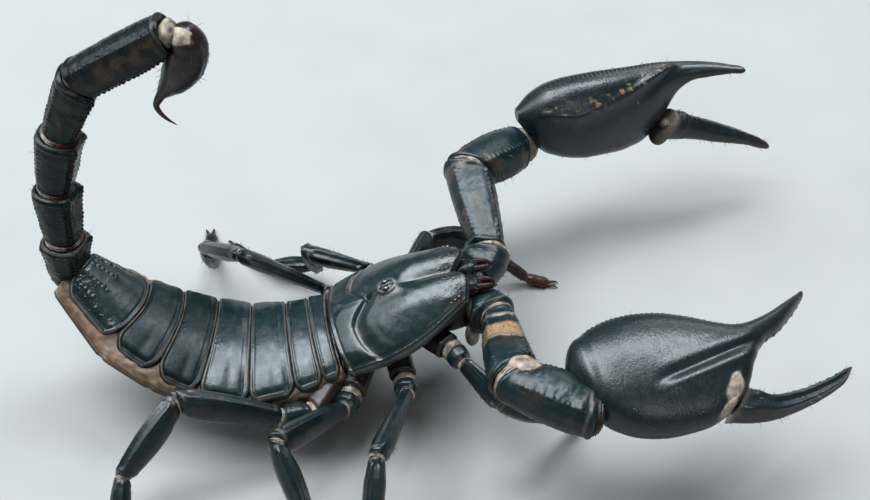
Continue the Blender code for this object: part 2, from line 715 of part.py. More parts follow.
def femur_rings(name, grow):
    """Trochanter and femur: length along their two links, half width and half height."""
    points = leg_points(name)
    scale = LEG_SCALE[name[1]]
    first = (points[1] - points[0]).normalized()
    second = (points[2] - points[1]).normalized()
    turn = first + second
    up, slim = leg_set(name)
    stations = (
        (points[0] - first * 1.2, first, 1.4, 1.5),
        (points[0], first, 1.9, 2.0),
        (points[0].lerp(points[1], 0.55), first, 2.3, 2.5),
        (points[0].lerp(points[1], 0.95), turn, 1.7, 1.9),
        (points[1].lerp(points[2], 0.12), turn, 1.5, 2.1),
        (points[1].lerp(points[2], 0.4), second, 1.8, 2.9),
        (points[1].lerp(points[2], 0.8), second, 2.1, 3.0),
        (points[2], second, 1.9, 2.6),
        (points[2] + second * 1.2, second, 1.3, 1.9),
    )
    rings = []
    for spot, along, half, tall in stations:
        tall = tall * scale + grow
        half = half * scale * slim + grow
        rings.append(oval(place(spot, along, up), 0, 0, 0, half, tall, tall, 8))
    return rings


def leg(name, looks):
    points = leg_points(name)
    scale = LEG_SCALE[name[1]]
    headings = [b - a for a, b in zip(points, points[1:])]
    cuts = [
        start_cut(points[0], points[0] - leg_root(name), headings[0]),
        end_cut(points[2], headings[1], headings[2]),
    ]
    solid("leg_" + name + "_femur", loft(femur_rings(name, 0)), looks["shell"], cuts)
    patella = ((0, 1.7, 2.2, 2.2), (0.3, 2.1, 2.9, 2.8), (0.75, 1.9, 2.6, 2.6), (1, 1.5, 2.0, 2.0))
    up, slim = leg_set(name)
    sections = [(t, half * scale * slim, top * scale, low * scale) for t, half, top, low in patella]
    frame = place(points[2], headings[2], up)
    rings = spindle(frame, headings[2].length, sections, 8, end=0.7, steps=2)
    cuts = [start_cut(points[2], headings[1], headings[2]), end_cut(points[3], headings[2], headings[3])]
    solid("leg_" + name + "_patella", loft(rings), looks["shell"], cuts)
    foot(name, points, headings, scale, looks)


def foot(name, points, headings, scale, looks):
    """Tibia, basitarsus and tarsus with its two claws, in one piece."""
    up, slim = leg_set(name)
    back = points[3] - headings[3].normalized() * 0.9
    rings = [oval(place(back, headings[3], up), 0, 0, 0, 1.2 * scale, 1.4 * scale, 1.4 * scale, 8)]
    stations = (
        (3, 0.0, 1.5, 1.7),
        (3, 0.3, 1.8, 2.1),
        (3, 0.85, 1.5, 1.7),
        (4, 0.0, 1.1, 1.2),
        (4, 0.4, 1.3, 1.4),
        (5, 0.0, 1.1, 1.1),
        (5, 0.35, 1.3, 1.2),
        (5, 0.95, 0.9, 0.85),
    )
    for part, t, half, tall in stations:
        spot = points[part].lerp(points[part + 1], t)
        along = headings[part]
        if t == 0 and part > 3:
            along = between(headings[part - 1], headings[part])
        half, tall = half * scale, tall * scale
        rings.append(oval(place(spot, along, up), 0, 0, 0, half, tall, tall, 8))
    floor = (Vector((0, 0, FLOOR)), -UP)
    cuts = [start_cut(points[3], headings[2], headings[3]), floor]
    body = solid("leg_" + name + "_foot", loft(rings), looks["foot"], cuts)
    frame = place(points[6], Vector((headings[5].x, headings[5].y, 0)))
    for hook, sign in (("inner", -1), ("outer", 1)):
        claw = []
        for t in (0, 0.5, 1):
            spot = (2.0 * t - 0.7, sign * (0.3 + 0.45 * t), 0.25 - 0.35 * t**2)
            size = 0.42 - 0.16 * t
            claw.append(oval(frame, *spot, size, size, size, 5))
        merge(body, solid(f"claw_{hook}_{name}", loft(claw), looks["foot"], [floor]))


# Whole animal ---------------------------------------------------------------------------


def recentre():
    """Stand the animal on the origin, at the middle of its box."""
    bpy.context.view_layer.update()
    graph = bpy.context.evaluated_depsgraph_get()
    points = []
    for made in bpy.data.objects:
        if not made.hide_render:
            mesh = made.evaluated_get(graph).to_mesh()
            points += [made.matrix_world @ vertex.co for vertex in mesh.vertices]
    low = Vector([min(point[axis] for point in points) for axis in range(3)])
    high = Vector([max(point[axis] for point in points) for axis in range(3)])
    stand = bpy.data.objects.new("scorpion", None)
    bpy.context.collection.objects.link(stand)
    for made in bpy.data.objects:
        if made is not stand:
            made.parent = stand
    stand.location = (-(low.x + high.x) / 2, -(low.y + high.y) / 2, -low.z)


def main():
    for old in list(bpy.data.objects):
        bpy.data.objects.remove(old)
    looks = {
        "shell": material("shell", (0.012, 0.024, 0.027), 0.25),
        "hand": material("hand", (0.016, 0.027, 0.032), 0.4),
        "belly": material("belly", (0.05, 0.026, 0.018), 0.5),
        "membrane": material("membrane", (0.45, 0.36, 0.26), 0.55),
        "telson": material("telson", (0.045, 0.016, 0.012), 0.3),
        "foot": material("foot", (0.05, 0.018, 0.012), 0.35),
        "eye": material("eye", (0.004, 0.004, 0.005), 0.05),
    }
    head(looks)
    chelicerae(underside(looks), looks)
    back_plates(looks)
    belly(looks)
    pectines(looks)
    tail(looks)
    for side in ARMS:
        arm(side, looks)
    for name in LEGS:
        leg(name, looks)
    recentre()


main()
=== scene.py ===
"""Emperor scorpion, life size, in a threat stance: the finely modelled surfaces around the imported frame."""
import math
import bpy
import numpy as np
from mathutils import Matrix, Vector


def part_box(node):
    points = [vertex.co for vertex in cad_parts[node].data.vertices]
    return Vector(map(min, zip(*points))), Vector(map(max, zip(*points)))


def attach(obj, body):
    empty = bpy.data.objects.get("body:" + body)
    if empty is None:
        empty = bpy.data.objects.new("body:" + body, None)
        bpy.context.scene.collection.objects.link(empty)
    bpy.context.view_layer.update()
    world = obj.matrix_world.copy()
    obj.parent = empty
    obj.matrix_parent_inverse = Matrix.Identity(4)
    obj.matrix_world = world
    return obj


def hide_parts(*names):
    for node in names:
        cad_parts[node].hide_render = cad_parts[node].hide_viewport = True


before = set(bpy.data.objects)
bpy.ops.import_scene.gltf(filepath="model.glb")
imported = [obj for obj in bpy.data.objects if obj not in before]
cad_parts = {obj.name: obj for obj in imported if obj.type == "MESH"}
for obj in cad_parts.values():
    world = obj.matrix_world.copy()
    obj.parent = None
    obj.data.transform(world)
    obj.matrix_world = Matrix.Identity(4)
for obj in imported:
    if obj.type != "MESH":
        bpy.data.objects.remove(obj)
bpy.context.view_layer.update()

# Lengths are in millimetres and angles in degrees; piece() turns them into metres.
MM = 0.001
UP = np.array((0.0, 0.0, 1.0))
FLOOR = -6.0  # the floor's height in the coordinates of the tables below
SIGN = {"r": -1, "l": 1}

# Driving dimensions: the frame's, apart from a wider rear of the shield, larger middle eyes, a
# fuller start and finer tip of the telson, and a blunter tip of the far finger ------------------

HEAD_REAR = (-19.8, -24.2, 15.7)
HEAD_YAW, HEAD_PITCH, HEAD_LENGTH = 9, 24, 24.9
LOBE_REACH = 2.8
EYE_X, EYE_HEIGHT, EYE_SPREAD, EYE_RADIUS = 12.8, 2.35, 0.85, 0.74
EYE_MOUND_X = 13.0
SIDE_EYES = ((0.95, 0.44), (0.0, 0.44), (-0.95, 0.36))  # place in the row and radius
PLATE = 1.2
# Length, yaw and pitch of each back plate, from the head backward.
TERGITES = (
    (3.7, 13, 15),
    (4.6, 10, 13),
    (7.2, 4, 6),
    (7.4, -6, -7),
    (7.6, -11, -16),
    (8.0, -16, -20),
    (13.0, -23, -30),
)
# Half width, drop of the sides, depth, flare of the flanks and yaw at each seam.
TRUNK = (
    (10.4, 3.2, 9.0, 0.0, 9),
    (11.0, 3.3, 9.6, 0.0, 10.5),
    (11.8, 3.6, 10.2, 0.0, 8),
    (12.9, 3.9, 10.6, 0.0, 3),
    (12.6, 3.9, 10.6, 0.3, -4),
    (11.3, 3.6, 10.2, 1.0, -8.5),
    (8.9, 3.1, 9.0, 2.0, -18),
    (4.7, 2.4, 7.4, 0.9, -23),
)
BOWS = (0.0, 0.0, 0.0, 0.2, 0.7, 1.5, 2.2, 0.8)  # how far each seam's middle lies ahead of its ends
ARCHES = (0.0, 0.0, 0.42, 0.36, 0.12, 0.05, 0.0)  # height of each plate's arch from front to rear
SHADED_PLATES = (4, 5)  # these plates get a darker, duller copy of the shell: painted shade
# Distance from the shield's rear, half width, height of the midline and drop of the sides.
SHIELD = (
    (0, 11.4, 0.0, 3.4),
    (4, 12.2, 1.2, 4.3),
    (8, 12.4, 1.7, 4.8),
    (12.8, 11.9, 1.8, 4.9),
    (18, 10.2, 1.4, 4.2),
    (22, 8.5, 0.8, 3.2),
    (24.9, 7.0, 0.1, 2.4),
)
# The curved furrow behind the cheeks: how far forward it lies at each distance from the midline.
CHEEK_FURROW = (
    (0.0, 8.4), (1.6, 7.0), (3.1, 5.7), (4.6, 4.9), (6.6, 5.0), (8.8, 5.6), (10.8, 6.7), (12.2, 8.0),
)
TAIL_BASE = (-68.9, -17.2, 21.1)
# Length, yaw, pitch, half width, and reach above and below the middle line of each tail ring.
TAIL = (
    (9.5, 142, 92, 4.1, 3.9, 4.0),
    (12.0, 87, 85, 3.9, 3.8, 3.9),
    (13.0, -2, 78, 3.9, 3.9, 3.9),
    (14.0, -7, 67, 3.7, 3.7, 3.8),
    (20.5, -8, 35, 3.8, 3.6, 4.0),
)
TAIL_FACING = (-22, -18, -10, -8, -8)  # yaw of each ring's upper side
# Place along a tail ring and its size there.
TAIL_SWELL = ((0, 0.7812), (0.25, 0.9215), (0.6, 1.0), (0.85, 1.0608), (1, 1.0094))
# Sting along its curve: forward and up from the tail's end, sideways, half width, half depth.
VESICLE = (
    (0.9, 1.3, 0.0, 2.2, 2.2),
    (2.9, -1.4, 0.0, 3.0, 3.2),
    (2.9, -3.6, 0.0, 3.4, 3.5),
    (1.9, -6.6, 0.0, 3.5, 3.5),
    (0.4, -9.3, 0.0, 2.8, 2.9),
    (-1.4, -11.7, 0.0, 1.7, 1.8),
    (-2.6, -13.3, 0.0, 1.0, 1.0),
)
ACULEUS = (
    (-3.4, -14.7, 0.0, 0.7, 0.75),
    (-3.9, -16.1, 0.0, 0.5, 0.55),
    (-3.4, -17.7, 0.1, 0.4, 0.43),
    (-2.3, -19.1, 0.2, 0.27, 0.28),
    (-0.8, -20.3, 0.3, 0.06, 0.06),
)
# Place along the hand, its inner and outer edge, half thickness, and height of the middle.
HANDS = {
    "r": (
        (-2.6, 9.8, 7.6, 1.4, 0.0),
        (-1.4, 12.6, 3.2, 3.6, 0.0),
        (1.5, 14.8, -1.6, 5.0, 0.0),
        (5.0, 16.2, -4.4, 5.8, 0.1),
        (10.0, 16.9, -6.2, 6.1, 0.4),
        (16.0, 16.2, -6.6, 5.9, 1.0),
        (21.0, 14.3, -6.0, 5.3, 2.0),
        (25.0, 12.2, -3.9, 4.6, 3.0),
        (28.0, 10.9, -0.8, 3.9, 3.7),
        (30.4, 10.6, 3.6, 3.1, 4.1),
        (33.0, 11.0, 6.2, 2.5, 4.1),
        (37.0, 12.3, 8.2, 2.1, 3.5),
        (42.0, 14.6, 11.8, 1.6, 1.9),
        (46.8, 16.8, 15.9, 0.5, 0.0),
    ),
    "l": (
        (-2.0, 9.6, 7.4, 1.4, 0.0),
        (0.6, 12.2, 3.6, 3.8, 0.0),
        (3.0, 14.0, 0.0, 5.0, 0.0),
        (6.5, 15.1, -2.2, 5.8, 0.1),
        (12.0, 15.7, -3.9, 6.1, 0.4),
        (17.5, 15.6, -4.3, 5.9, 1.0),
        (23.0, 15.2, -4.5, 5.3, 2.0),
        (27.5, 14.8, -2.8, 4.6, 3.0),
        (30.5, 14.4, 1.4, 3.6, 3.7),
        (33.0, 13.9, 6.8, 2.7, 4.1),
        (35.5, 13.8, 9.4, 2.1, 4.0),
        (39.5, 14.0, 11.0, 1.6, 3.0),
        (43.5, 14.1, 12.4, 1.1, 1.5),
        (46.4, 14.0, 13.5, 0.4, 0.0),
    ),
}
# Place along the moving finger, its middle, half width and half thickness.
FINGERS = {
    "r": (
        (24.5, -2.0, 3.6, 4.0),
        (29.0, -3.3, 3.1, 3.3),
        (33.0, -4.3, 2.2, 2.5),
        (38.0, -4.0, 1.7, 1.9),
        (44.0, -2.7, 1.3, 1.4),
        (48.5, -1.1, 0.9, 0.9),
        (51.0, 0.4, 0.35, 0.35),
    ),
    "l": (
        (27.0, 2.6, 3.9, 4.0),
        (31.5, 1.5, 3.3, 3.3),
        (36.0, 0.0, 2.6, 2.6),
        (42.5, -2.4, 2.1, 2.2),
        (50.0, -5.4, 1.3, 1.4),
        (54.0, -7.4, 1.0, 1.0),
        (56.0, -8.4, 0.7, 0.7),
    ),
}
# Ends of the line along which the moving finger leaves the hand.
HINGES = {"r": ((30.9, 2.4, 0.0), (23.6, -6.0, 0.0)), "l": ((33.2, 4.9, 0.0), (28.6, -1.6, 0.0))}
# Bare skin on the near hand: centre, direction, half length and half width of each patch.
SKIN_SPOTS = (((24.4, -1.3), (0.56, 0.83), 2.6, 1.6), ((22.5, -4.5), (0.85, 0.53), 2.5, 0.6))
ARM_STARTS = {"r": (7.5, -22.9, 18.2), "l": (7.8, -15.0, 18.0)}
# Length, yaw and pitch of each arm's trochanter, femur and patella.
ARMS = {
    "r": ((5.6, -43, 8), (20.0, -83, 13), (15.6, -25, -6)),
    "l": ((6.5, 66, 5), (19.6, 102, 12), (17.5, 47, -14)),
}
PINCERS = {"r": (17.5, -6, 20), "l": (13, -3, 90)}  # yaw, pitch and roll
# Place along a limb's segment (0 to 1), half width, and reach above and below its middle line.
ARM_SECTIONS = {
    "trochanter": ((0, 3.3, 3.2, 3.2), (0.5, 4.6, 3.9, 3.8), (1, 3.8, 3.5, 3.4)),
    "femur": ((0, 3.1, 3.2, 3.0), (0.3, 3.8, 3.8, 3.6), (0.75, 4.5, 4.2, 4.0), (1, 4.5, 4.1, 3.9)),
    "patella": ((0, 4.1, 3.7, 3.6), (0.3, 4.9, 4.4, 4.2), (0.7, 4.9, 4.6, 4.4), (1, 4.1, 4.0, 3.9)),
}
ARM_GAPS = {"r": (0.2, 1.3, 0.25), "l": (0.25, 0.7, 0.9)}  # skin showing after each segment
JAW_SECTIONS = ((0, 1.6, 1.3, 1.6), (0.5, 1.95, 1.8, 1.95), (0.85, 1.75, 1.6, 1.7), (1, 1.2, 1.1, 1.2))
HIP_SECTIONS = ((0, 2.2, 2.2, 2.0), (0.5, 2.5, 2.5, 2.3), (1, 2.45, 2.4, 2.3))
SHOULDER_SECTIONS = ((0, 2.4, 2.6, 2.6), (0.6, 3.2, 3.2, 3.2), (1, 3.0, 3.0, 3.1))
LEG_SECTIONS = {
    "trochanter": ((0, 1.9, 2.0, 2.0), (0.5, 2.4, 2.6, 2.5), (1, 1.75, 2.05, 1.95)),
    "femur": (
        (0, 1.35, 2.0, 2.0),
        (0.2, 1.5, 2.5, 2.4),
        (0.6, 1.95, 3.1, 2.9),
        (0.85, 2.1, 3.0, 2.9),
        (1, 1.85, 2.5, 2.5),
    ),
    "patella": ((0, 1.5, 2.0, 2.0), (0.3, 2.1, 2.9, 2.8), (0.75, 1.9, 2.6, 2.6), (1, 1.45, 1.9, 1.9)),
    "tibia": ((0, 1.25, 1.5, 1.5), (0.3, 1.75, 2.05, 2.0), (0.85, 1.5, 1.7, 1.7), (1, 1.2, 1.4, 1.4)),
    "basitarsus": ((0, 1.0, 1.15, 1.15), (0.4, 1.25, 1.35, 1.35), (1, 1.05, 1.1, 1.1)),
    "tarsus": ((0, 1.0, 1.05, 1.05), (0.35, 1.25, 1.2, 1.2), (0.9, 0.95, 0.9, 0.9), (1, 0.6, 0.6, 0.6)),
}
LEG_SKIN = (0.8, 0.95, 0.9, 0.4, 0.3)  # paleness of the skin after each segment
HIPS = {
    "r1": (3.4, -31.2, 14.8),
    "r2": (-5.6, -34.2, 9.2),
    "r3": (-15.8, -35.6, 6.8),
    "r4": (-22.8, -38.8, 5.9),
    "l1": (5.2, -14.0, 11.2),
    "l2": (-7.6, -11.4, 8.8),
    "l3": (-12.9, -10.6, 7.6),
    "l4": (-19.6, -11.9, 6.6),
}
# Length, yaw and pitch of each leg's trochanter, femur, patella and tibia, then the foot's yaw.
LEGS = {
    "r1": ((3.6, -58, -5), (10.3, -50, -8), (11.5, 5, -28), (8.8, 59, -50), 50),
    "r2": ((3.6, -83, 8), (18.6, -106, 11), (13.7, -97, -41), (10.0, -94, -36), -84),
    "r3": ((4.0, -108, 6), (18.9, -129, 22), (15.1, -61, -38), (10.2, -95, -39), -102),
    "r4": ((6.2, -162, 8), (20.0, -171, 23), (16.4, -133, -32), (11.3, -97, -41), -98),
    "l1": ((3.0, 74, 10), (9.2, 80, 8), (11.0, 78, -31), (8.5, -11, -55), -4),
    "l2": ((3.6, 74, 2), (15.6, 71, -10), (13.4, 30, -24), (9.6, 85, -21), 86),
    "l3": ((5.6, 92, 28), (12.2, 164, 4), (14.2, 92, -53), (9.6, 168, -16), 138),
    "l4": ((4.2, 124, 12), (18.5, -179, 32), (15.6, 129, -32), (11.3, 90, -59), 100),
}
LEG_SCALE = {"1": 0.88, "2": 0.93, "3": 0.98, "4": 1.05}
# Lean of the upper edge toward the back, and the share of the width, for the legs of the far side,
# which lie over on their flat sides.
LEANING = {"l3": (35, 0.88), "l4": (45, 0.76)}
RED_FEET = {"l1": 1.0, "l2": 0.5, "l3": 0.15, "l4": 0.15, "r1": 0.6, "r2": 0.5, "r3": 0.5, "r4": 0.5}
FOOT = (7.2, 6.0)
FOOT_BEND = 1.4
FOOT_HEIGHT = 0.55

# Rows and columns of the meshes' grids.
SHIELD_GRID, PLATE_GRID, LAST_PLATE_GRID = (200, 250), (64, 190), (110, 150)
JAW_GRID, HIP_GRID, SHOULDER_GRID = (50, 56), (44, 48), (50, 64)
TAIL_GRID, ARM_GRID, LEG_GRID, FOOT_GRID = (110, 132), (100, 120), (60, 56), (44, 40)
HAND_GRID, FINGER_GRID = (320, 230), (150, 84)
BELLY_STEPS, BELLY_POINTS = 16, 16  # rings to a back plate; samples to each of a ring's 15 points
BULB_ROWS, BULB_SIDES = 30, 40

# Colours of skin, soil and rusty shell; the cream also paints highlights and the rust also paints shade in a
# few places.
CREAM, PINKISH = (0.36, 0.30, 0.22), (0.20, 0.135, 0.12)
DUST, RUST = (0.26, 0.15, 0.075), (0.045, 0.013, 0.008)
TAN, SKIN = (0.155, 0.095, 0.058), (0.05, 0.026, 0.0165)
# Dark and light colour, least and greatest roughness, grain, pits, and gleam of each kind of shell.
CUTICLES = {
    "shell": ((0.0009, 0.006, 0.007), (0.0026, 0.012, 0.0135), 0.25, 0.4, 0.3, 0.0, 0.5),
    # A darker, duller copy of the shell for the fifth and sixth back plates: painted shade.
    "shaded_shell": ((0.0006, 0.004, 0.0047), (0.002, 0.009, 0.0102), 0.3, 0.45, 0.3, 0.0, 0.17),
    "rough_shell": ((0.0007, 0.0026, 0.0031), (0.0026, 0.0068, 0.0075), 0.24, 0.38, 0.4, 0.2, 0.18),
    "hand": ((0.0009, 0.004, 0.005), (0.0028, 0.0085, 0.0102), 0.29, 0.39, 0.35, 0.2, 0.45),
    "arm": ((0.0008, 0.0055, 0.0064), (0.0026, 0.0115, 0.013), 0.3, 0.45, 0.35, 0.0, 0.32),
    "belly": ((0.005, 0.0045, 0.004), (0.013, 0.0095, 0.0075), 0.32, 0.5, 0.5, 0.0, 0.35),
    "leg": ((0.0009, 0.005, 0.006), (0.0033, 0.011, 0.0125), 0.24, 0.37, 0.4, 0.0, 0.32),
    "sting": ((0.0026, 0.0022, 0.0024), (0.0075, 0.0055, 0.005), 0.26, 0.38, 0.4, 0.0, 0.34),
    "comb": ((0.30, 0.22, 0.15), (0.42, 0.33, 0.24), 0.4, 0.6, 0.5, 0.0, 0.6),
}
PITS_PER_METRE = 2300
EYE_TONES = (0.004, 0.004, 0.005), (0.012, 0.009, 0.008)
FLOOR_TONES = (0.24, 0.235, 0.226), (0.254, 0.248, 0.239)
FLOOR_HALF = 3.0  # metres
# Lamps: place from the model in metres, size in metres, power in watts, colour.
LAMPS = {
    "overhead": ((-0.45, 0.12, 1.4), 1.12, 58.0, (0.84, 0.94, 1.0)),
    "back": ((0.42, 0.42, 1.27), 0.5, 17.0, (0.84, 0.93, 1.0)),
    "left": ((-0.50, 0.1, 0.32), 0.28, 1.4, (0.84, 0.94, 1.0)),
    "near": ((0.32, -0.60, 0.42), 0.22, 0.7, (1.0, 0.97, 0.92)),
    "far": ((0.25, 0.55, 0.35), 0.2, 0.6, (0.9, 0.95, 1.0)),
}
SKY, SKY_STRENGTH = (0.80, 0.88, 1.0, 1), 0.2
CAMERA_ELEVATION, CAMERA_HALF_VIEW, CAMERA_DISTANCE = 45, 14, 0.35  # degrees, degrees, metres
SENSOR = 36
LOOK_AT = (0, 0, 10.0)

# Mathematics ------------------------------------------------------------------------------------


def unit(v):
    v = np.asarray(v, float)
    return v / np.maximum(np.linalg.norm(v, axis=-1, keepdims=True), 1e-9)


def direction(yaw, pitch):
    yaw, pitch = math.radians(yaw), math.radians(pitch)
    return np.array((math.cos(yaw) * math.cos(pitch), math.sin(yaw) * math.cos(pitch), math.sin(pitch)))


def between(before, after):
    return unit(unit(before) + unit(after))


def place(origin, forward, up=UP):
    """Local frame: X along the piece, Z to its upper side, Y to its left."""
    x = unit(forward)
    z = unit(up - x * np.dot(up, x))
    made = np.eye(4)
    made[:3, 0], made[:3, 1], made[:3, 2], made[:3, 3] = x, np.cross(z, x), z, origin
    return made


def spot(matrix, local):
    return np.asarray(local, float) @ matrix[:3, :3].T + matrix[:3, 3]


def turn(matrix, vector):
    return matrix[:3, :3] @ np.asarray(vector, float)


def xyz(*values):
    """Points from arrays of their coordinates."""
    return np.stack(np.broadcast_arrays(*values), axis=-1)


def curve(table, x):
    """Values at x on a smooth curve through the rows of a table sorted by its first column."""
    rows = np.array(table, float)
    keys = rows[:, 0]
    x = np.clip(np.asarray(x, float), keys[0], keys[-1])
    i = np.clip(np.searchsorted(keys, x, side="right") - 1, 0, len(keys) - 2)
    span = (keys[i + 1] - keys[i])[..., None]
    slopes = np.gradient(rows[:, 1:], keys, axis=0)
    t = (x - keys[i])[..., None] / span
    start = (2 * t**3 - 3 * t**2 + 1) * rows[i, 1:] + (t**3 - 2 * t**2 + t) * slopes[i] * span
    return start + (3 * t**2 - 2 * t**3) * rows[i + 1, 1:] + (t**3 - t**2) * slopes[i + 1] * span


def step(x, low, high):
    t = np.clip((x - low) / (high - low), 0, 1)
    return t * t * (3 - 2 * t)


def window(x, length, low, high, last_low, last_high):
    """1 inside a length, fading out toward both ends."""
    return step(x, low, high) * step(length - x, last_low, last_high)


def bell(x, width):
    return np.exp(-((x / width) ** 2))


def around(angle, centre):
    """Angle from a centre, from -180 to 180."""
    return (angle - centre + 180) % 360 - 180


def keel(angle, centre, width):
    """Bell across a piece, centred at an angle round it."""
    return bell(around(angle, centre), width)


def crests(angle, table, width):
    return sum(tall * keel(angle, centre, width) for centre, tall in table)


def wave(x, period, shift=0.0):
    return np.cos(x * 2 * np.pi / period + shift)


def teeth(x):
    """Blunt teeth of a finger's cutting edge."""
    return 0.16 + 0.14 * np.clip(wave(x, 1.9), 0, 1) ** 2


def rounded(x, long):
    """Share of the full size over the rounded last part of a finger."""
    return np.sqrt(np.clip(1 - ((x - x[-1] + long) / long).clip(0, 1) ** 2, 0.03, 1))


def hashed(cells, seed):
    """Repeatable number from 0 to 1 for each whole-number cell."""
    mixed = cells[..., 0] * 73856093 ^ cells[..., 1] * 19349663 ^ cells[..., 2] * 83492791 ^ seed * 6700417
    mixed = (mixed ^ (mixed >> 13)) * 1274126177 & 0x7FFFFFFF
    mixed = (mixed ^ (mixed >> 15)) * 668265263 & 0x7FFFFFFF
    return (mixed >> 7 & 0xFFFFFF) / 0xFFFFFF


def noise(points, size, seed=1):
    """Smooth noise from -1 to 1 with features of about the given size."""
    scaled = points / size
    base = np.floor(scaled).astype(np.int64)
    t = scaled - base
    t = t * t * (3 - 2 * t)
    total = np.zeros(points.shape[:-1])
    for corner in np.ndindex(2, 2, 2):
        total += np.prod(np.where(corner, t, 1 - t), axis=-1) * hashed(base + corner, seed)
    return total * 2 - 1


def granules(points, size, seed=1, fill=1.0):
    """Height from 0 to 1 of small domes scattered about one to a cell."""
    scaled = points / size
    base = np.floor(scaled).astype(np.int64)
    best = np.zeros(points.shape[:-1])
    for corner in np.ndindex(3, 3, 3):
        cell = base + np.array(corner) - 1
        jitter = np.stack([hashed(cell, seed + k) for k in (11, 23, 37)], axis=-1)
        away = np.sum((scaled - cell - 0.15 - 0.7 * jitter) ** 2, axis=-1)
        radius = 0.3 + 0.25 * hashed(cell, seed + 5)
        best = np.maximum(best, np.clip(1 - away / radius**2, 0, 1) * (hashed(cell, seed + 7) < fill))
    return best


# Meshes: a part is a dictionary of points, quads, triangles and masks, one number a point in each -----


def quads_of(rows, columns, wrap):
    i = np.arange(rows - 1)[:, None] * columns
    j = np.arange(columns if wrap else columns - 1)[None, :]
    k = (j + 1) % columns
    corners = np.stack(np.broadcast_arrays(i + j, i + k, i + columns + k, i + columns + j))
    return corners.reshape(4, -1).T


def raised(rings, height):
    """Closed grid of rings pushed out along its normals, which point away from its middle line."""
    across = np.roll(rings, -1, axis=1) - np.roll(rings, 1, axis=1)
    normal = unit(np.cross(across, np.gradient(rings, axis=0)))
    normal *= np.sign(np.sum(normal * (rings - rings.mean(axis=1, keepdims=True))))
    return rings + normal * height[..., None]


def flipped(part):
    part["quads"], part["triangles"] = part["quads"][:, ::-1], part["triangles"][:, ::-1]
    return part


def oriented(part):
    """Turn the faces outward if the part is inside out."""
    p = part["points"]
    volume = 0.0
    for faces in (part["quads"], part["triangles"]):
        for k in range(1, faces.shape[1] - 1):
            a, b, c = p[faces[:, 0]], p[faces[:, k]], p[faces[:, k + 1]]
            volume += np.sum(np.cross(a - p[0], b - p[0]) * (c - p[0]))
    return flipped(part) if volume < 0 else part


def tube(rings, masks=None):
    """Closed part through rings of points, with a point at the middle of each end ring."""
    rows, columns = rings.shape[:2]
    ends = np.stack((rings[0].mean(axis=0), rings[-1].mean(axis=0)))
    j = np.arange(columns)
    k = (j + 1) % columns
    last, middles = (rows - 1) * columns, rows * columns
    first = np.stack((np.full(columns, middles), k, j), axis=1)
    final = np.stack((np.full(columns, middles + 1), last + j, last + k), axis=1)
    full = {}
    for name, values in (masks or {}).items():
        values = np.broadcast_to(values, (rows, columns))
        full[name] = np.concatenate((values.ravel(), [values[0].mean(), values[-1].mean()]))
    points = np.concatenate((rings.reshape(-1, 3), ends))
    triangles = np.concatenate((first, final))
    quads = quads_of(rows, columns, True)
    return oriented({"points": points, "quads": quads, "triangles": triangles, "masks": full})


def plate(grid, down, masks, thick, inset, sink):
    """Closed part: a grid of points on top, rounded over its border to a hidden underside."""
    rows, columns = grid.shape[:2]
    index = np.arange(rows * columns).reshape(rows, columns)
    border = np.concatenate((index[0, :-1], index[:-1, -1], index[-1, :0:-1], index[:0:-1, 0]))
    top = grid.reshape(-1, 3)
    rim = top[border]
    middle = rim.mean(axis=0)
    loops = [rim + down * thick, middle + (rim - middle) * inset + down * sink]
    points = np.concatenate([top, *loops, (top.mean(axis=0) + down * (sink + 1.5))[None]])
    count = len(border)
    faces = [quads_of(rows, columns, False)]
    before = border
    start = rows * columns
    for _ in loops:
        after = start + np.arange(count)
        faces.append(np.stack((before, after, np.roll(after, -1), np.roll(before, -1)), axis=1))
        before = after
        start += count
    fan = np.stack((before, np.full(count, start), np.roll(before, -1)), axis=1)
    full = {}
    for name, values in masks.items():
        values = np.broadcast_to(values, (rows, columns)).ravel()
        full[name] = np.concatenate((values, np.zeros(2 * count + 1)))
    part = {"points": points, "quads": np.concatenate(faces), "triangles": fan, "masks": full}
    a, b, c = points[part["quads"][0][:3]]
    return flipped(part) if np.dot(np.cross(b - a, c - a), down) > 0 else part


def joined(parts):
    masks = {}
    for name in sorted({name for part in parts for name in part["masks"]}):
        values = [part["masks"].get(name, np.zeros(len(part["points"]))) for part in parts]
        masks[name] = np.concatenate(values)
    shift = np.cumsum([0] + [len(part["points"]) for part in parts[:-1]])
    whole = {"points": np.concatenate([part["points"] for part in parts]), "masks": masks}
    for key in ("quads", "triangles"):
        whole[key] = np.concatenate([part[key] + s for part, s in zip(parts, shift)])
    return whole


def piece(name, parts, look, nodes, sharp=40):
    """One Blender object from parts, standing for the named nodes of the frame."""
    part = joined(parts)
    points = (part["points"] + SHIFT) * MM
    mesh = bpy.data.meshes.new(name)
    quads, triangles = part["quads"], part["triangles"]
    mesh.vertices.add(len(points))
    mesh.vertices.foreach_set("co", points.astype(np.float32).ravel())
    loops = np.concatenate((quads.ravel(), triangles.ravel())).astype(np.int32)
    starts = np.concatenate((np.arange(len(quads)) * 4, len(quads) * 4 + np.arange(len(triangles)) * 3))
    mesh.loops.add(len(loops))
    mesh.loops.foreach_set("vertex_index", loops)
    mesh.polygons.add(len(starts))
    mesh.polygons.foreach_set("loop_start", starts.astype(np.int32))
    mesh.update(calc_edges=True)
    mesh.validate()
    for mask, values in part["masks"].items():
        layer = mesh.attributes.new(mask, "FLOAT", "POINT")
        layer.data.foreach_set("value", np.clip(values, 0, 1).astype(np.float32))
    mesh.shade_smooth()
    mesh.set_sharp_from_angle(angle=math.radians(sharp))
    mesh.materials.append(look)
    made = bpy.data.objects.new(name, mesh)
    bpy.context.scene.collection.objects.link(made)
    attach(made, "root")
    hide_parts(*nodes)


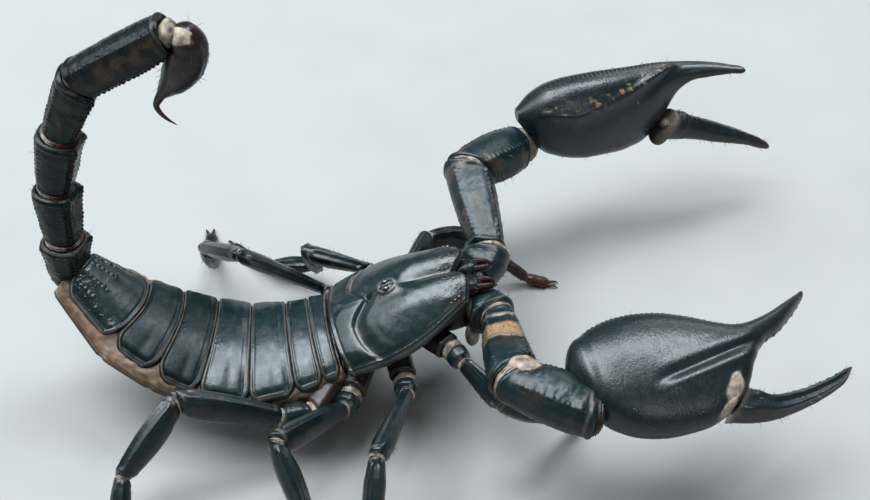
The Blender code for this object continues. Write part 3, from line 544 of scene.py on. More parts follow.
def ring_shape(sides, power=2.0):
    """Angles round a piece, and the sideways and upward reach of a unit ring at each."""
    angle = (np.arange(sides) + 0.5) * 360 / sides
    c, s = np.cos(np.radians(angle)), np.sin(np.radians(angle))
    return angle, np.sign(c) * abs(c) ** (2 / power), np.sign(s) * abs(s) ** (2 / power)


def limb(matrix, length, sections, joints, relief, grid, power=2.2, gaps=(0.3, 0.3), lip=0.05):
    """Hard segment between two joint planes, given by their normals, which point forward along the limb."""
    rows, sides = grid
    s = 0.5 - 0.5 * np.cos(np.pi * np.linspace(0, 1, rows))
    angle, wide, tall = ring_shape(sides, power)
    half, top, bottom = (column[:, None] for column in curve(sections, s).T)
    depth = np.stack((s * length, (1 - s) * length))
    swell = np.prod(1 + lip * bell(depth - 0.9, 0.5) - 0.1 * bell(depth, 0.3), axis=0)[:, None]
    y = half * wide * swell
    z = np.where(tall > 0, top, bottom) * tall * swell
    x = s[:, None] * length + 0 * y
    for normal, gap, near in zip(joints, (gaps[0], -gaps[1]), (s, 1 - s)):
        if normal is not None:
            n = matrix[:3, :3].T @ unit(normal)
            slope = -(n[1] * y + n[2] * z) / max(n[0], 0.35)
            x = x + step(0.5 - near, 0, 0.5)[:, None] * slope + step(0.3 - near, 0, 0.3)[:, None] * gap
    rings = spot(matrix, xyz(x, y, z))
    height, masks = relief(x, np.broadcast_to(angle, x.shape), rings, length)
    rings = raised(rings, height)
    inner = []
    for ring, inward in ((rings[0], matrix[:3, 0]), (rings[-1], -matrix[:3, 0])):
        middle = ring.mean(axis=0)
        inner.append([middle + (ring - middle) * f + inward * d for f, d in ((0.86, 0.12), (0.62, 0.8))])
    full = {name: np.broadcast_to(values, (rows, sides)) for name, values in masks.items()}
    full = {name: np.concatenate((v[:1], v[:1], v, v[-1:], v[-1:])) for name, v in full.items()}
    return tube(np.concatenate((np.stack(inner[0][::-1]), rings, np.stack(inner[1]))), full)


def bulb(point, axis, up, half, tall, reach, folds=4, masks=None, sides=BULB_SIDES):
    """Soft wrinkled skin of a joint."""
    k = np.linspace(-0.985, 0.985, BULB_ROWS)[:, None]
    _, wide, high = ring_shape(sides)
    size = np.sqrt(1 - k**2) * (1 + 0.035 * np.cos(k * folds * 2 * np.pi))
    rings = spot(place(point, axis, up), xyz(k * reach, half * size * wide, tall * size * high))
    normal = unit(rings - rings.mean(axis=(0, 1)))
    rings = rings + normal * (0.07 * noise(rings, 0.5, 3) + 0.12 * noise(rings, 1.3, 2))[..., None]
    patchy = np.clip(0.75 + 0.75 * noise(rings, 0.8, 4), 0, 1)
    return tube(rings, {key: value * patchy for key, value in (masks or {"pale": 1.0}).items()})


def strand(points, radii, sides=10, masks=None, squash=1.0, rows=24, up=UP):
    """Smooth closed tube along a few points with the given radii."""
    keyed = [(i, *p, r) for i, (p, r) in enumerate(zip(np.asarray(points, float), radii))]
    dense = curve(keyed, np.linspace(0, len(keyed) - 1, rows))
    centre, radius = dense[:, :3], dense[:, 3]
    along = unit(np.gradient(centre, axis=0))
    _, wide, high = ring_shape(sides)
    side = unit(np.cross(up, along))
    rise = np.cross(along, side)
    ring = side[:, None] * wide[None, :, None] + rise[:, None] * high[None, :, None] * squash
    return tube(centre[:, None] + radius[:, None, None] * ring, masks)


def bristles(part, count, length, seed, along, lean, thick=0.05, keep=None):
    """Fine stiff hairs rooted on a part's surface, each a thin bent cone that leans along the limb."""
    chance = np.random.default_rng(seed)
    p, q = part["points"], part["quads"]
    cross = np.cross(p[q[:, 1]] - p[q[:, 0]], p[q[:, 2]] - p[q[:, 0]])
    normal, area = unit(cross), np.linalg.norm(cross, axis=1)
    if keep is not None:
        area = area * keep(p[q].mean(axis=1))
    chosen = chance.choice(len(q), size=count, p=area / area.sum())
    root = p[q[chosen]].mean(axis=1)
    out = unit(normal[chosen] + lean * unit(along) + 0.35 * chance.normal(size=(count, 3)))
    long = length * chance.uniform(0.6, 1.2, count)[:, None]
    side = unit(np.cross(out, chance.normal(size=(count, 3))))
    other = np.cross(out, side)
    droop = np.array((0, 0, -0.25))
    turns = [2 * math.pi * k / 3 for k in range(3)]
    levels = []
    for t, radius in ((-0.05, 1.0), (0.45, 0.75), (1.0, 0.12)):
        centre = root + out * long * t + droop * long * t * t * 0.5
        levels += [centre + thick * radius * (side * math.cos(a) + other * math.sin(a)) for a in turns]
    points = np.stack(levels, axis=1).reshape(-1, 3)
    base = (np.arange(count) * 9)[:, None, None]
    corners = [(low + k, low + (k + 1) % 3) for low in (0, 3) for k in range(3)]
    quads = (base + np.array([(a, b, b + 3, a + 3) for a, b in corners])).reshape(-1, 4)
    triangles = (base + np.array(((2, 1, 0), (6, 7, 8)))).reshape(-1, 3)
    masks = {"rust": np.full(len(points), 0.8)}
    return {"points": points, "quads": quads, "triangles": triangles, "masks": masks}


# Materials --------------------------------------------------------------------------------------


class Wiring:
    """Short names for making a node material."""

    def __init__(self, name):
        self.material = bpy.data.materials.new(name)
        self.material.use_nodes = True
        self.nodes = self.material.node_tree.nodes
        self.links = self.material.node_tree.links
        self.shader = self.nodes["Principled BSDF"]
        self.place = self.node("ShaderNodeTexCoord").outputs["Object"]

    def node(self, kind, **settings):
        made = self.nodes.new(kind)
        for key, value in settings.items():
            setattr(made, key, value)
        return made

    def fill(self, sockets, values):
        """Set or link each socket; a value is a number, a colour or another node's socket."""
        for socket, value in zip(sockets, values):
            if isinstance(value, bpy.types.NodeSocket):
                self.links.new(value, socket)
            else:
                socket.default_value = (*value, 1) if isinstance(value, tuple) else value

    def shade(self, name, value):
        self.fill([self.shader.inputs[name]], [value])

    def noise(self, per_metre, detail, rough=0.55):
        made = self.node("ShaderNodeTexNoise")
        sockets = [made.inputs[key] for key in ("Scale", "Detail", "Roughness", "Vector")]
        self.fill(sockets, (per_metre, detail, rough, self.place))
        return made.outputs["Fac"]

    def mask(self, name):
        return self.node("ShaderNodeAttribute", attribute_name=name).outputs["Fac"]

    def spread(self, value, low, high, start=0.0, end=1.0):
        made = self.node("ShaderNodeMapRange")
        sockets = [made.inputs[key] for key in ("Value", "From Min", "From Max", "To Min", "To Max")]
        self.fill(sockets, (value, low, high, start, end))
        return made.outputs["Result"]

    def math(self, kind, a, b):
        made = self.node("ShaderNodeMath", operation=kind)
        self.fill(made.inputs, (a, b))
        return made.outputs[0]

    def mix(self, factor, a, b):
        """Mixed colour."""
        made = self.node("ShaderNodeMix", data_type="RGBA")
        self.fill([made.inputs[0], *(s for s in made.inputs if s.type == "RGBA")], (factor, a, b))
        return next(s for s in made.outputs if s.type == "RGBA")

    def blend(self, factor, a, b):
        """Mixed number."""
        made = self.node("ShaderNodeMix", data_type="FLOAT")
        self.fill((made.inputs[0], *made.inputs[2:4]), (factor, a, b))
        return made.outputs[0]

    def bump(self, height, distance, strength, before=None):
        made = self.node("ShaderNodeBump")
        sockets = [made.inputs[key] for key in ("Height", "Distance", "Strength")]
        self.fill(sockets, (height, distance, strength))
        if before is not None:
            self.links.new(before, made.inputs["Normal"])
        return made.outputs["Normal"]


def cuticle(name, dark, light, smooth, rough, grain, pits, gleam):
    """Hard shell: near-black, with pale, rusty, dusty and soft-skin areas where the masks say; some pale
    areas are painted highlights and some rusty ones painted shade.
    """
    w = Wiring(name)
    pale, dust, rust, skin = (w.mask(key) for key in ("pale", "dust", "rust", "skin"))
    colour = w.mix(w.spread(w.noise(350, 4), 0.35, 0.7), dark, light)
    colour = w.mix(rust, colour, RUST)
    colour = w.mix(skin, colour, w.mix(w.spread(w.noise(700, 5), 0.35, 0.7), SKIN, TAN))
    dusted = w.math("MULTIPLY", dust, w.spread(w.noise(3200, 4, 0.7), 0.4, 0.58, 0.3))
    colour = w.mix(dusted, colour, DUST)
    soft = w.mix(w.spread(w.noise(900, 4), 0.4, 0.65), CREAM, PINKISH)
    w.shade("Base Color", w.mix(pale, colour, soft))
    matt = w.math("MAXIMUM", w.math("MAXIMUM", pale, skin), dusted)
    w.shade("Roughness", w.blend(matt, w.spread(w.noise(900, 5), 0.3, 0.72, smooth, rough), 0.5))
    normal = w.bump(w.noise(2600, 3), 0.00006, grain)
    if pits:
        cells = w.node("ShaderNodeTexVoronoi", feature="F1")
        w.fill((cells.inputs["Scale"], cells.inputs["Vector"]), (PITS_PER_METRE, w.place))
        normal = w.bump(cells.outputs["Distance"], 0.00009, pits, normal)
    w.shade("Normal", normal)
    w.shade("Specular IOR Level", gleam)
    return w.material


def eye_look():
    w = Wiring("eye")
    w.shade("Base Color", w.mix(w.spread(w.noise(1500, 2), 0.4, 0.7), *EYE_TONES))
    for name, value in (("Roughness", 0.06), ("Coat Weight", 0.6), ("Coat Roughness", 0.03)):
        w.shade(name, value)
    return w.material


LOOKS = {name: cuticle(name, *row) for name, row in CUTICLES.items()}
LOOKS["eye"] = eye_look()

# Head -------------------------------------------------------------------------------------------

HEAD = place(HEAD_REAR, direction(HEAD_YAW, HEAD_PITCH))


def middle_of(*nodes):
    corners = np.array([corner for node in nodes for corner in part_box(node)], float)
    return corners.mean(axis=0) / MM


# From the tables' coordinates to the frame's.
SHIFT = middle_of("eye_median_l", "eye_median_r") - spot(HEAD, (EYE_X, 0, EYE_HEIGHT))


def shield_local(s, u):
    """Smooth shield without its relief: s runs forward and u across, to the rims."""
    wide = abs(u)
    front = HEAD_LENGTH + LOBE_REACH * np.sin(np.minimum(wide / 0.5, 1) * np.pi / 2)
    front = front - 4.4 * np.maximum(wide - 0.55, 0) ** 1.3
    rear = 0.6 * wide**2.2
    half, crown, drop = np.moveaxis(curve(SHIELD, s * HEAD_LENGTH), -1, 0)
    return xyz(rear + (front - rear) * s, u * half, crown - drop * wide**2.3)


def carapace():
    rows, columns = SHIELD_GRID
    even = np.linspace(0, 1, rows)[:, None]
    s = 0.3 * (0.5 - 0.5 * np.cos(np.pi * even)) + 0.7 * even
    u = np.sin(np.linspace(-1, 1, columns) * 1.25)[None, :] / math.sin(1.25)
    s, u = np.broadcast_arrays(s, u)
    x, y, z = np.moveaxis(shield_local(s, u), -1, 0)
    wide = abs(y)
    side = (1 - abs(u)) * curve(SHIELD, s * HEAD_LENGTH)[..., 0]
    rear_gap, front_gap = x - shield_local(0 * u, u)[..., 0], shield_local(0 * u + 1, u)[..., 0] - x
    edge = np.minimum(np.minimum(side, rear_gap), front_gap)
    # Front furrow between the lobes, the swollen lobes, and the raised mound and ring of the eyes.
    valley = np.interp(x, (14.4, 16.0, 19.0, 23.0, 26.0), (0.0, 0.45, 0.85, 1.0, 1.1))
    z = z - valley * np.exp(-((wide / 1.35) ** 1.5))
    z += 0.55 * bell(x - 17.5, 6.5) * bell(wide - 4.9, 3.1)
    z += 0.95 * np.exp(-0.75 * (((x - EYE_MOUND_X) / 2.35) ** 2 + (wide / 1.45) ** 2))
    ring = np.hypot((x - EYE_MOUND_X) / 1.75, wide / 1.5) - 1.0
    z += 0.2 * bell(ring, 0.16) - 0.12 * bell(wide, 0.25) * bell(x - EYE_MOUND_X, 1.2)
    # Cheek furrow: a sharp step behind, a long slope in front.
    ahead = x - curve(CHEEK_FURROW, wide)[..., 0]
    deep = np.interp(wide, (0, 1.0, 5, 9, 11.5), (0.9, 0.75, 0.75, 0.6, 0.2))
    z -= deep * np.where(ahead > 0, bell(ahead, 2.1), bell(ahead, 0.5))
    z -= 0.7 * bell(x - 8.6, 0.6) * bell(wide, 0.55)
    z -= 0.2 * bell(wide, 0.9) * step(-ahead, 0, 1) * step(rear_gap, 0.6, 2.0)
    # Behind the furrow the shield rises evenly to its rear margin, a broad band that takes the light.
    z += 0.2 * np.clip(-ahead, 0, 4.6) * step(side, 0.5, 3.0)
    # Low concentric swellings over the cheeks.
    swirl = np.hypot(x - 13.5, (wide - 6.4) * 1.1)
    z += 0.035 * np.cos(swirl * 2.1) * bell(swirl - 5.2, 1.9) * step(side, 0.6, 2.0)
    # Rim all round, with a groove inside it.
    z += 0.24 * bell(side - 0.3, 0.22) - 0.1 * bell(side - 0.95, 0.3) - 0.16 * bell(rear_gap - 1.0, 0.3)
    z += 0.14 * bell(rear_gap - 0.4, 0.3) + 0.12 * bell(front_gap - 0.35, 0.25)
    z -= 0.55 * np.clip(1 - edge / 0.55, 0, 1) ** 2 + 0.5 * np.clip(1 - side / 1.4, 0, 1) ** 2
    # Front corners carry the side eyes on a low ledge.
    z += 0.3 * bell(x - 24.0, 1.6) * bell(wide - 6.6, 0.8)
    local = xyz(x, y, z)
    front = step(x, 20.0, 24.5)
    rough = np.clip(front + step(1.6 - side, 0, 1.2) * 0.5 + bell(ahead - 0.4, 0.8) * 0.25, 0, 1)
    local[..., 2] += (0.07 * granules(local, 0.42, 4, 0.85) + 0.03 * noise(local, 0.9, 13) * front) * rough
    local[..., 2] += 0.035 * noise(local, 2.2, 8) + 0.012 * noise(local, 0.8, 9)
    line = bell(ahead - 0.1, 0.24) * step(wide, 4.0, 5.6) * step(side, 0.2, 1.0)
    line = line * (0.6 + 0.4 * noise(local, 1.1, 12))
    # Pale line along the crest in front of the eyes: partly the crest's own pale colour, partly a painted
    # highlight along it.
    crest = bell(y - 0.1, 0.17) * np.interp(x, (14.2, 16, 20, 23.5, 25), (0.1, 0.45, 0.8, 1.0, 0.3))
    masks = {
        "pale": 0.34 * bell(ring, 0.1) + 0.36 * crest + 0.22 * bell(side - 0.15, 0.06) + 0.34 * line,
        "dust": 0.6 * line + 0.35 * bell(rear_gap - 0.9, 0.2) * step(wide, 2, 5),
        "rust": 0.12 * front,
    }
    return plate(spot(HEAD, local), -HEAD[:3, 2], masks, thick=0.45, inset=0.93, sink=1.3)


def dome(centre, axis, radius):
    """Eye lens: a closed low dome."""
    k = np.linspace(-0.97, 0.995, 14)[:, None]
    _, wide, high = ring_shape(28)
    size = np.sqrt(1 - k**2)
    matrix = place(centre, axis, np.array((0.3, 0.9, 0.1)))
    return tube(spot(matrix, radius * xyz(k, size * wide, size * high)))


def head():
    piece("carapace_shell", [carapace()], LOOKS["shell"], ["carapace"], 60)
    for side, sign in SIGN.items():
        centre = spot(HEAD, (EYE_X, sign * EYE_SPREAD, EYE_HEIGHT))
        eye = dome(centre, turn(HEAD, (0.05, 0.75 * sign, 0.75)), EYE_RADIUS)
        piece("median_eye_" + side, [eye], LOOKS["eye"], ["eye_median_" + side])
        along = unit(turn(HEAD, (1, -0.35 * sign, 0.05)))
        middle = spot(HEAD, (HEAD_LENGTH - 0.6, sign * 6.9, -1.3))
        look_out = turn(HEAD, (0.2, 0.9 * sign, 0.5))
        row = [dome(middle + along * at, look_out, radius) for at, radius in SIDE_EYES]
        piece("side_eyes_" + side, row, LOOKS["eye"], ["eyes_lateral_" + side])


# Mouthparts and the underside of the head ---------------------------------------------------------


def jaw_relief(x, a, p, length):
    height = 0.08 * granules(p, 0.5, 6) + 0.05 * noise(p, 1.0, 2)
    return height, {"rust": 0.08 + 0.1 * noise(p, 1.5, 5), "pale": 0.3 * step(noise(p, 1.1, 9), 0.45, 0.7)}


def jaws():
    for side, sign in SIGN.items():
        start = spot(HEAD, (HEAD_LENGTH - 2.4, sign * 2.05, -3.3))
        matrix = place(start, turn(HEAD, (1, sign * 0.04, -0.22)))
        body = limb(matrix, 6.6, JAW_SECTIONS, (None, None), jaw_relief, JAW_GRID, lip=0.0)
        parts = [body]
        for across, reach in ((-0.75, 3.9), (0.85, 4.3)):
            base = sign * across
            path = [(5.6, base, 0.3), (7.2, base * 1.15, 0.1), (8.6, base * 0.9, -0.3)]
            path.append((5.2 + reach, base * 0.35, -0.9))
            parts.append(strand(spot(matrix, path), (0.75, 0.62, 0.42, 0.12), 16, {"rust": 0.3}, 1.25))
            for k in range(3):
                root = (7.0 + 0.75 * k, base * (0.95 - 0.1 * k), -0.15 * k)
                tip = (7.2 + 0.75 * k, base * (0.45 - 0.1 * k), -0.1 - 0.15 * k)
                parts.append(strand(spot(matrix, [root, tip]), (0.26, 0.06), 8, {"rust": 1.0}, rows=6))
        parts.append(bristles(body, 60, 1.2, 7 + sign, matrix[:3, 0], 1.2))
        piece("jaw_" + side, parts, LOOKS["rough_shell"], ["chelicera_" + side])


def leg_root(name):
    return spot(HEAD, (16.5 - 3.6 * int(name[1]), SIGN[name[0]] * 2.4, -6.6))


def arm_root(side):
    return spot(HEAD, (HEAD_LENGTH - 9.5, SIGN[side] * 4.6, -5.6))


def coxa_relief(x, a, p, length):
    height = 0.09 * granules(p, 0.6, 3, 0.6) * step(x, 1, 4) + 0.06 * noise(p, 1.3, 4)
    height += 0.22 * keel(a, 60, 16) + 0.18 * keel(a, 130, 16)
    return height, {"rust": 0.1 + 0.2 * noise(p, 1.4, 6), "pale": 0.2 * bell(x - length + 0.3, 0.3)}


def coxa(root, joint, after, sections, grid, gap, sink, skin):
    """First joint of a leg or an arm, and the skin at its end."""
    heading = joint - root
    end = between(heading, direction(*after[1:]))
    reach = np.linalg.norm(heading)
    part = limb(place(root, heading), reach, sections, (None, end), coxa_relief, grid, gaps=(0, gap))
    return [part, bulb(joint - unit(heading) * sink, end, UP, *skin)]


def underside():
    """Breastbone, the floor of the head, and the first joints of the legs and arms."""
    _, wide, tall = ring_shape(96, 2.6)
    s = np.linspace(0, 1, 40)[:, None]
    along = 1.2 + 20.5 * s
    half = 0.74 * curve(SHIELD, along)[..., 0] * np.sin(math.pi * (0.12 + 0.8 * s)) ** 0.35
    low, high = -9.0 + 1.8 * s, -1.6
    rings = spot(HEAD, xyz(along, half * wide, (high + low) / 2 + (high - low) / 2 * tall))
    rings = rings + 0.12 * unit(rings - rings.mean(axis=(0, 1))) * noise(rings, 1.6, 5)[..., None]
    bone = [(9.0, 0, -9.2), (11.0, 0, -9.5), (13.2, 0, -9.3), (14.8, 0, -8.7)]
    parts = [tube(rings, {"rust": 0.5, "skin": 0.35})]
    parts.append(strand(spot(HEAD, bone), (0.9, 1.6, 1.5, 0.5), 24, {"rust": 0.4}, 0.45, up=HEAD[:3, 2]))
    for name, links in LEGS.items():
        gap = 1.0 if name in ("r1", "r2", "r3") else 0.5
        skin = (2.1, 2.2, 1.8, 4, {"pale": 0.9})
        parts += coxa(leg_root(name), np.array(HIPS[name]), links[0], HIP_SECTIONS, HIP_GRID, gap, 0.2, skin)
    for side, links in ARMS.items():
        start = np.array(ARM_STARTS[side])
        skin = (2.9, 2.9, 2.4)
        root = arm_root(side)
        parts += coxa(root, start, links[0], SHOULDER_SECTIONS, SHOULDER_GRID, 0.9, 0.3, skin)
        if side == "r":
            # Drop of skin below the arm's first joint.
            below = start + np.array((-0.5, -3.7, -4.0))
            parts.append(bulb(below, np.array((1, 0, 0)), UP, 1.7, 2.7, 1.4, 1))
    piece("breast_and_hips", parts, LOOKS["belly"], ["coxosternum"])


# Trunk ------------------------------------------------------------------------------------------


def trunk_frames():
    point = np.array(HEAD_REAR)
    slopes = [HEAD_PITCH] + [pitch for _, _, pitch in TERGITES] + [TERGITES[-1][2]]
    frames = []
    for i, row in enumerate(TRUNK):
        frames.append(place(point, direction(row[-1], (slopes[i] + slopes[i + 1]) / 2)))
        if i < len(TERGITES):
            length, yaw, pitch = TERGITES[i]
            point = point - direction(yaw, pitch) * length
    return frames


FRAMES = trunk_frames()


def trunk_point(i, t, u, sink):
    """Point on back plate i: t runs back along it and u across it, sunk below its surface."""
    first, last = np.array(TRUNK[i][:2]), np.array(TRUNK[i + 1][:2])
    half = first[0] + (last[0] - first[0]) * t
    drop = first[1] + (last[1] - first[1]) * t
    bow = 1 - abs(u) ** 1.8
    y, z = u * (half - 0.3 * sink), -drop * abs(u) ** 2.3 - sink
    ahead, behind = (xyz(BOWS[k] * bow, y, z) for k in (i, i + 1))
    t = (t + 0 * u)[..., None]
    return spot(FRAMES[i], ahead) * (1 - t) + spot(FRAMES[i + 1], behind) * t


def tergite(i):
    length = TERGITES[i][0]
    final = i + 1 == len(TERGITES)
    rows, columns = LAST_PLATE_GRID if final else PLATE_GRID
    p = np.linspace(0, 1, rows)[:, None]
    q = np.sin(np.linspace(-1, 1, columns) * 1.3)[None, :] / math.sin(1.3)
    half = (TRUNK[i][0] + TRUNK[i + 1][0]) / 2
    side = (1 - abs(q)) * half
    # Rounded outer ends, like a U seen from the side.
    corner = min(3.4 if i > 3 else 2.4, 0.42 * length)
    inset = corner - np.sqrt(np.maximum(corner**2 - np.maximum(corner - side, 0) ** 2, 0))
    start = 0.12 if i else 0.45
    front, rear = start + inset * 0.9, (0.5 if final else -0.3) + inset
    t = (front + (length - front - rear) * p) / length
    rear_gap, front_gap = length * (1 - t) + (-0.5 if final else 0.3), length * t - start
    edge = np.minimum(np.minimum(rear_gap - inset, front_gap - 0.9 * inset), side + 0 * t)
    u = q + 0 * t
    grid = trunk_point(i, t, u, 0 * t)
    up = unit(FRAMES[i][:3, 2] + FRAMES[i + 1][:3, 2])
    bulge = 0.45 if i < 2 else 1.0  # the two short plates are flatter
    if 2 <= i < 6:
        lift = ARCHES[i] * (1 - (2 * t - 1) ** 2) + 0.05 * step(t, 0.8, 1.0)
    else:
        lift = bulge * (0.34 * step(t, 0.35, 1.0) - 0.22 * step(0.5 - t, 0, 0.5))
    lift -= 0.5 * np.clip(1 - edge / 0.5, 0, 1) ** 2 + 0.8 * np.clip(1 - side / 1.8, 0, 1) ** 2
    lift += 0.12 * bell(edge - 0.4, 0.2) - 0.12 * bell(edge - 0.85, 0.22)
    if not final:
        # A shallow valley across the plate parts its front and rear swellings.
        lift -= 0.1 * bell(length * (t - 0.46), 0.1 * length) * step(abs(u), 0.12, 0.4) * (length > 6)
        lift -= 0.1 * bulge * bell(front_gap - 1.3, 0.3)
        lift += 0.05 * granules(grid, 0.6, 10 + i, 0.5) * step(t, 0.55, 0.95)
    else:
        # Coarse granules and two pairs of short keels on the last plate.
        area = step(abs(u) + 0.3 * t + 0.25 * noise(grid, 2.6, 22), 0.55, 0.9) * step(0.98 - abs(u), 0, 0.2)
        lift += (0.17 * granules(grid, 0.55, 20, 0.85) + 0.14 * noise(grid, 1.1, 21)) * area
        for centre in (0.28, 0.66):
            crest = bell((abs(u) - centre) * half, 0.35) * window(t, 0.97, 0.45, 0.6, 0, 0.08)
            lift += 0.3 * crest * (0.7 + 0.3 * np.sin(t * length * 7))
    lift += 0.035 * noise(grid, 2.4, 30 + i) + 0.014 * noise(grid, 0.9, 31)
    masks = {
        "pale": 0.38 * bell(edge - 0.3, 0.1) * (0.7 + 0.5 * noise(grid, 1.7, 41 + i)),
        "dust": 0.16 * bell(edge - 0.3, 0.2) * step(noise(grid, 1.4, 40 + i), -0.2, 0.5),
    }
    return plate(grid + up * lift[..., None], -up, masks, thick=0.35, inset=0.9, sink=0.8)


def closed_curve(points, count):
    """Smooth closed curve through points, as evenly numbered samples."""
    n = len(points)
    t = np.arange(count) * n / count
    i = t.astype(int)
    f = (t - i)[:, None]
    a, b, c, d = (points[(i + k) % n] for k in (-1, 0, 1, 2))
    return 0.5 * (2 * b + (c - a) * f + (2 * a - 5 * b + 4 * c - d) * f**2 + (3 * b - a - 3 * c + d) * f**3)


def belly_ring(i, t):
    half, drop, depth, flare, _ = (a + (b - a) * t for a, b in zip(TRUNK[i], TRUNK[i + 1]))
    u = np.array((-0.95, -0.6, -0.3, 0, 0.3, 0.6, 0.95))
    top = trunk_point(i, np.full(7, float(t)), u, np.full(7, 0.95))
    flank = -drop - PLATE - 0.5
    low = (
        (1.0 * half + 0.6 * flare, flank),
        (0.96 * half + flare, 0.4 * flank - 0.52 * depth),
        (0.74 * half + 0.6 * flare, -0.93 * depth),
        (0.35 * half, -depth),
    )
    local = np.array([(0, y, z) for y, z in low] + [(0, -y, z) for y, z in reversed(low)])
    sides = spot(FRAMES[i], local) * (1 - t) + spot(FRAMES[i + 1], local) * t
    points = np.concatenate((top, sides))
    return closed_curve(points, BELLY_POINTS * len(points))


def belly():
    """Soft flanks with the hard belly plates let into them."""
    stations = [(i, k / BELLY_STEPS) for i in range(7) for k in range(BELLY_STEPS)] + [(6, 1.0)]
    stations = [(i, t) for i, t in stations if i or t > 0.05]
    rings = np.stack([belly_ring(i, t) for i, t in stations])
    v = np.arange(rings.shape[1]) / BELLY_POINTS  # which of the ring's points each sample is near
    order, t = np.array(stations).T[..., None]
    lengths = np.array([TERGITES[i][0] for i, _ in stations])[:, None]
    gap = np.minimum(t, 1 - t) * lengths
    beneath = np.broadcast_to(window(v, 13.7, 8.3, 9.0, 0.0, 0.7), rings.shape[:2])
    plated = beneath * (order >= 1) * step(gap, 0.1, 0.6)
    side = 1 - beneath
    flank = window(v, 9.4, 6.2, 7.0, 0, 1) + window(v, 15, 12.6, 13.6, 0, 0.6)
    height = (0.16 * noise(rings * np.array((1.0, 1.0, 1.6)), 1.5, 2) + 0.1 * noise(rings, 0.7, 3)) * side
    height += -0.45 * bell(gap, 0.7) * flank - 0.25 * bell(beneath - 0.4, 0.25)
    spiracle = (bell(v - 9.5, 0.16) + bell(v - 12.5, 0.16)) * bell((t - 0.5) * lengths, 0.5)
    spiracle = spiracle * (order >= 2) * (order <= 5)
    height += 0.32 * plated - 0.3 * spiracle + 0.03 * granules(rings, 0.6, 5, 0.4) * plated
    rings = raised(rings, height)
    hidden = window(v, 5.85, 0.15, 0.6, 0, 0.45)
    # The bare skin is palest beside the last plates.
    bare = np.interp(order + t, (0, 4, 5.5, 6.5), (0.5, 0.6, 0.8, 1.0))
    seams = (0.3 * bell(gap, 0.6) + 0.16 * step(noise(rings, 2.2, 6), 0.15, 0.6)) * flank * side
    masks = {
        "skin": (1 - plated) * (1 - 0.92 * hidden) * bare,
        "pale": seams + 0.6 * spiracle,
        "dust": 0.2 * side * flank,
    }
    piece("flanks_and_belly", [tube(rings, masks)], LOOKS["belly"], ["belly"], 60)


def combs():
    """Comb organs behind the legs: a shaft with a row of blunt teeth."""
    edge = FRAMES[1]
    for side, sign in SIGN.items():
        root = spot(edge, (0, sign * 2.0, -TRUNK[1][2] - 1.3))
        matrix = place(root, turn(edge, (-0.5, sign, 0)))
        shaft = [(0, 0.35 * sign, 0), (4.5, 0.3 * sign, 0), (9.0, 0.1 * sign, 0)]
        parts = [strand(spot(matrix, shaft), (0.75, 0.62, 0.3), 18, squash=0.6)]
        for k in range(13):
            x = 0.7 + 0.66 * k
            tip = -sign * (1.75 - 0.04 * k)
            path = [(x, 0.1 * sign, 0), (x - 0.05, 0.5 * tip, -0.05), (x - 0.25, tip, -0.1)]
            parts.append(strand(spot(matrix, path), (0.3, 0.33, 0.16), 10, squash=0.7, rows=10))
        piece("comb_" + side, parts, LOOKS["comb"], ["pecten_" + side])


# Tail -------------------------------------------------------------------------------------------


def tail_relief(i):
    """Keels and granules of one tail ring; the upper side is at 90 degrees."""
    fifth = i == 4
    keels = [(57, 0.62), (123, 0.62), (38, 0.32), (142, 0.32), (-42, 0.38), (-138, 0.38)]
    keels += [(-90, 0.2)] if fifth else [(-72, 0.26), (-108, 0.26)]
    keels += [] if i else [(0, 0.3), (180, 0.3)]

    def relief(x, a, p, length):
        inside = window(x, length, 0.5, 1.8, 0.4, 1.2)
        beads = 0.36 + 0.2 * wave(x, 0.95, 3 * noise(p, 2.5, 53)) + 0.12 * noise(p, 1.0, 54)
        height = -0.32 * keel(a, 90, 22) * inside - 0.18 * (keel(a, 20, 16) + keel(a, 160, 16)) * inside
        height += crests(a, keels, 6.5) * inside * beads
        if not fifth:
            height += 0.32 * bell(x - length + 1.4, 1.3) * (keel(a, 58, 13) + keel(a, 122, 13))
        height += 0.09 * granules(p, 0.62, 50 + i, 0.6) * inside + 0.05 * noise(p, 1.2, 51)
        rim = 0.1 * bell(x - length + 0.35, 0.22)
        if fifth:
            # Dried soil along the side between the keels.
            soiled = step(noise(p, 1.7, 57), -0.3, 0.6) * keel(a, -6, 24) * inside
            return height, {"dust": 0.2 * soiled, "pale": rim}
        dusty = 0.13 * step(noise(p * np.array((1.0, 1.0, 0.5)), 1.2, 52 + i), 0.15, 0.75) * inside
        return height, {"dust": dusty, "pale": rim, "rust": dusty}

    return relief


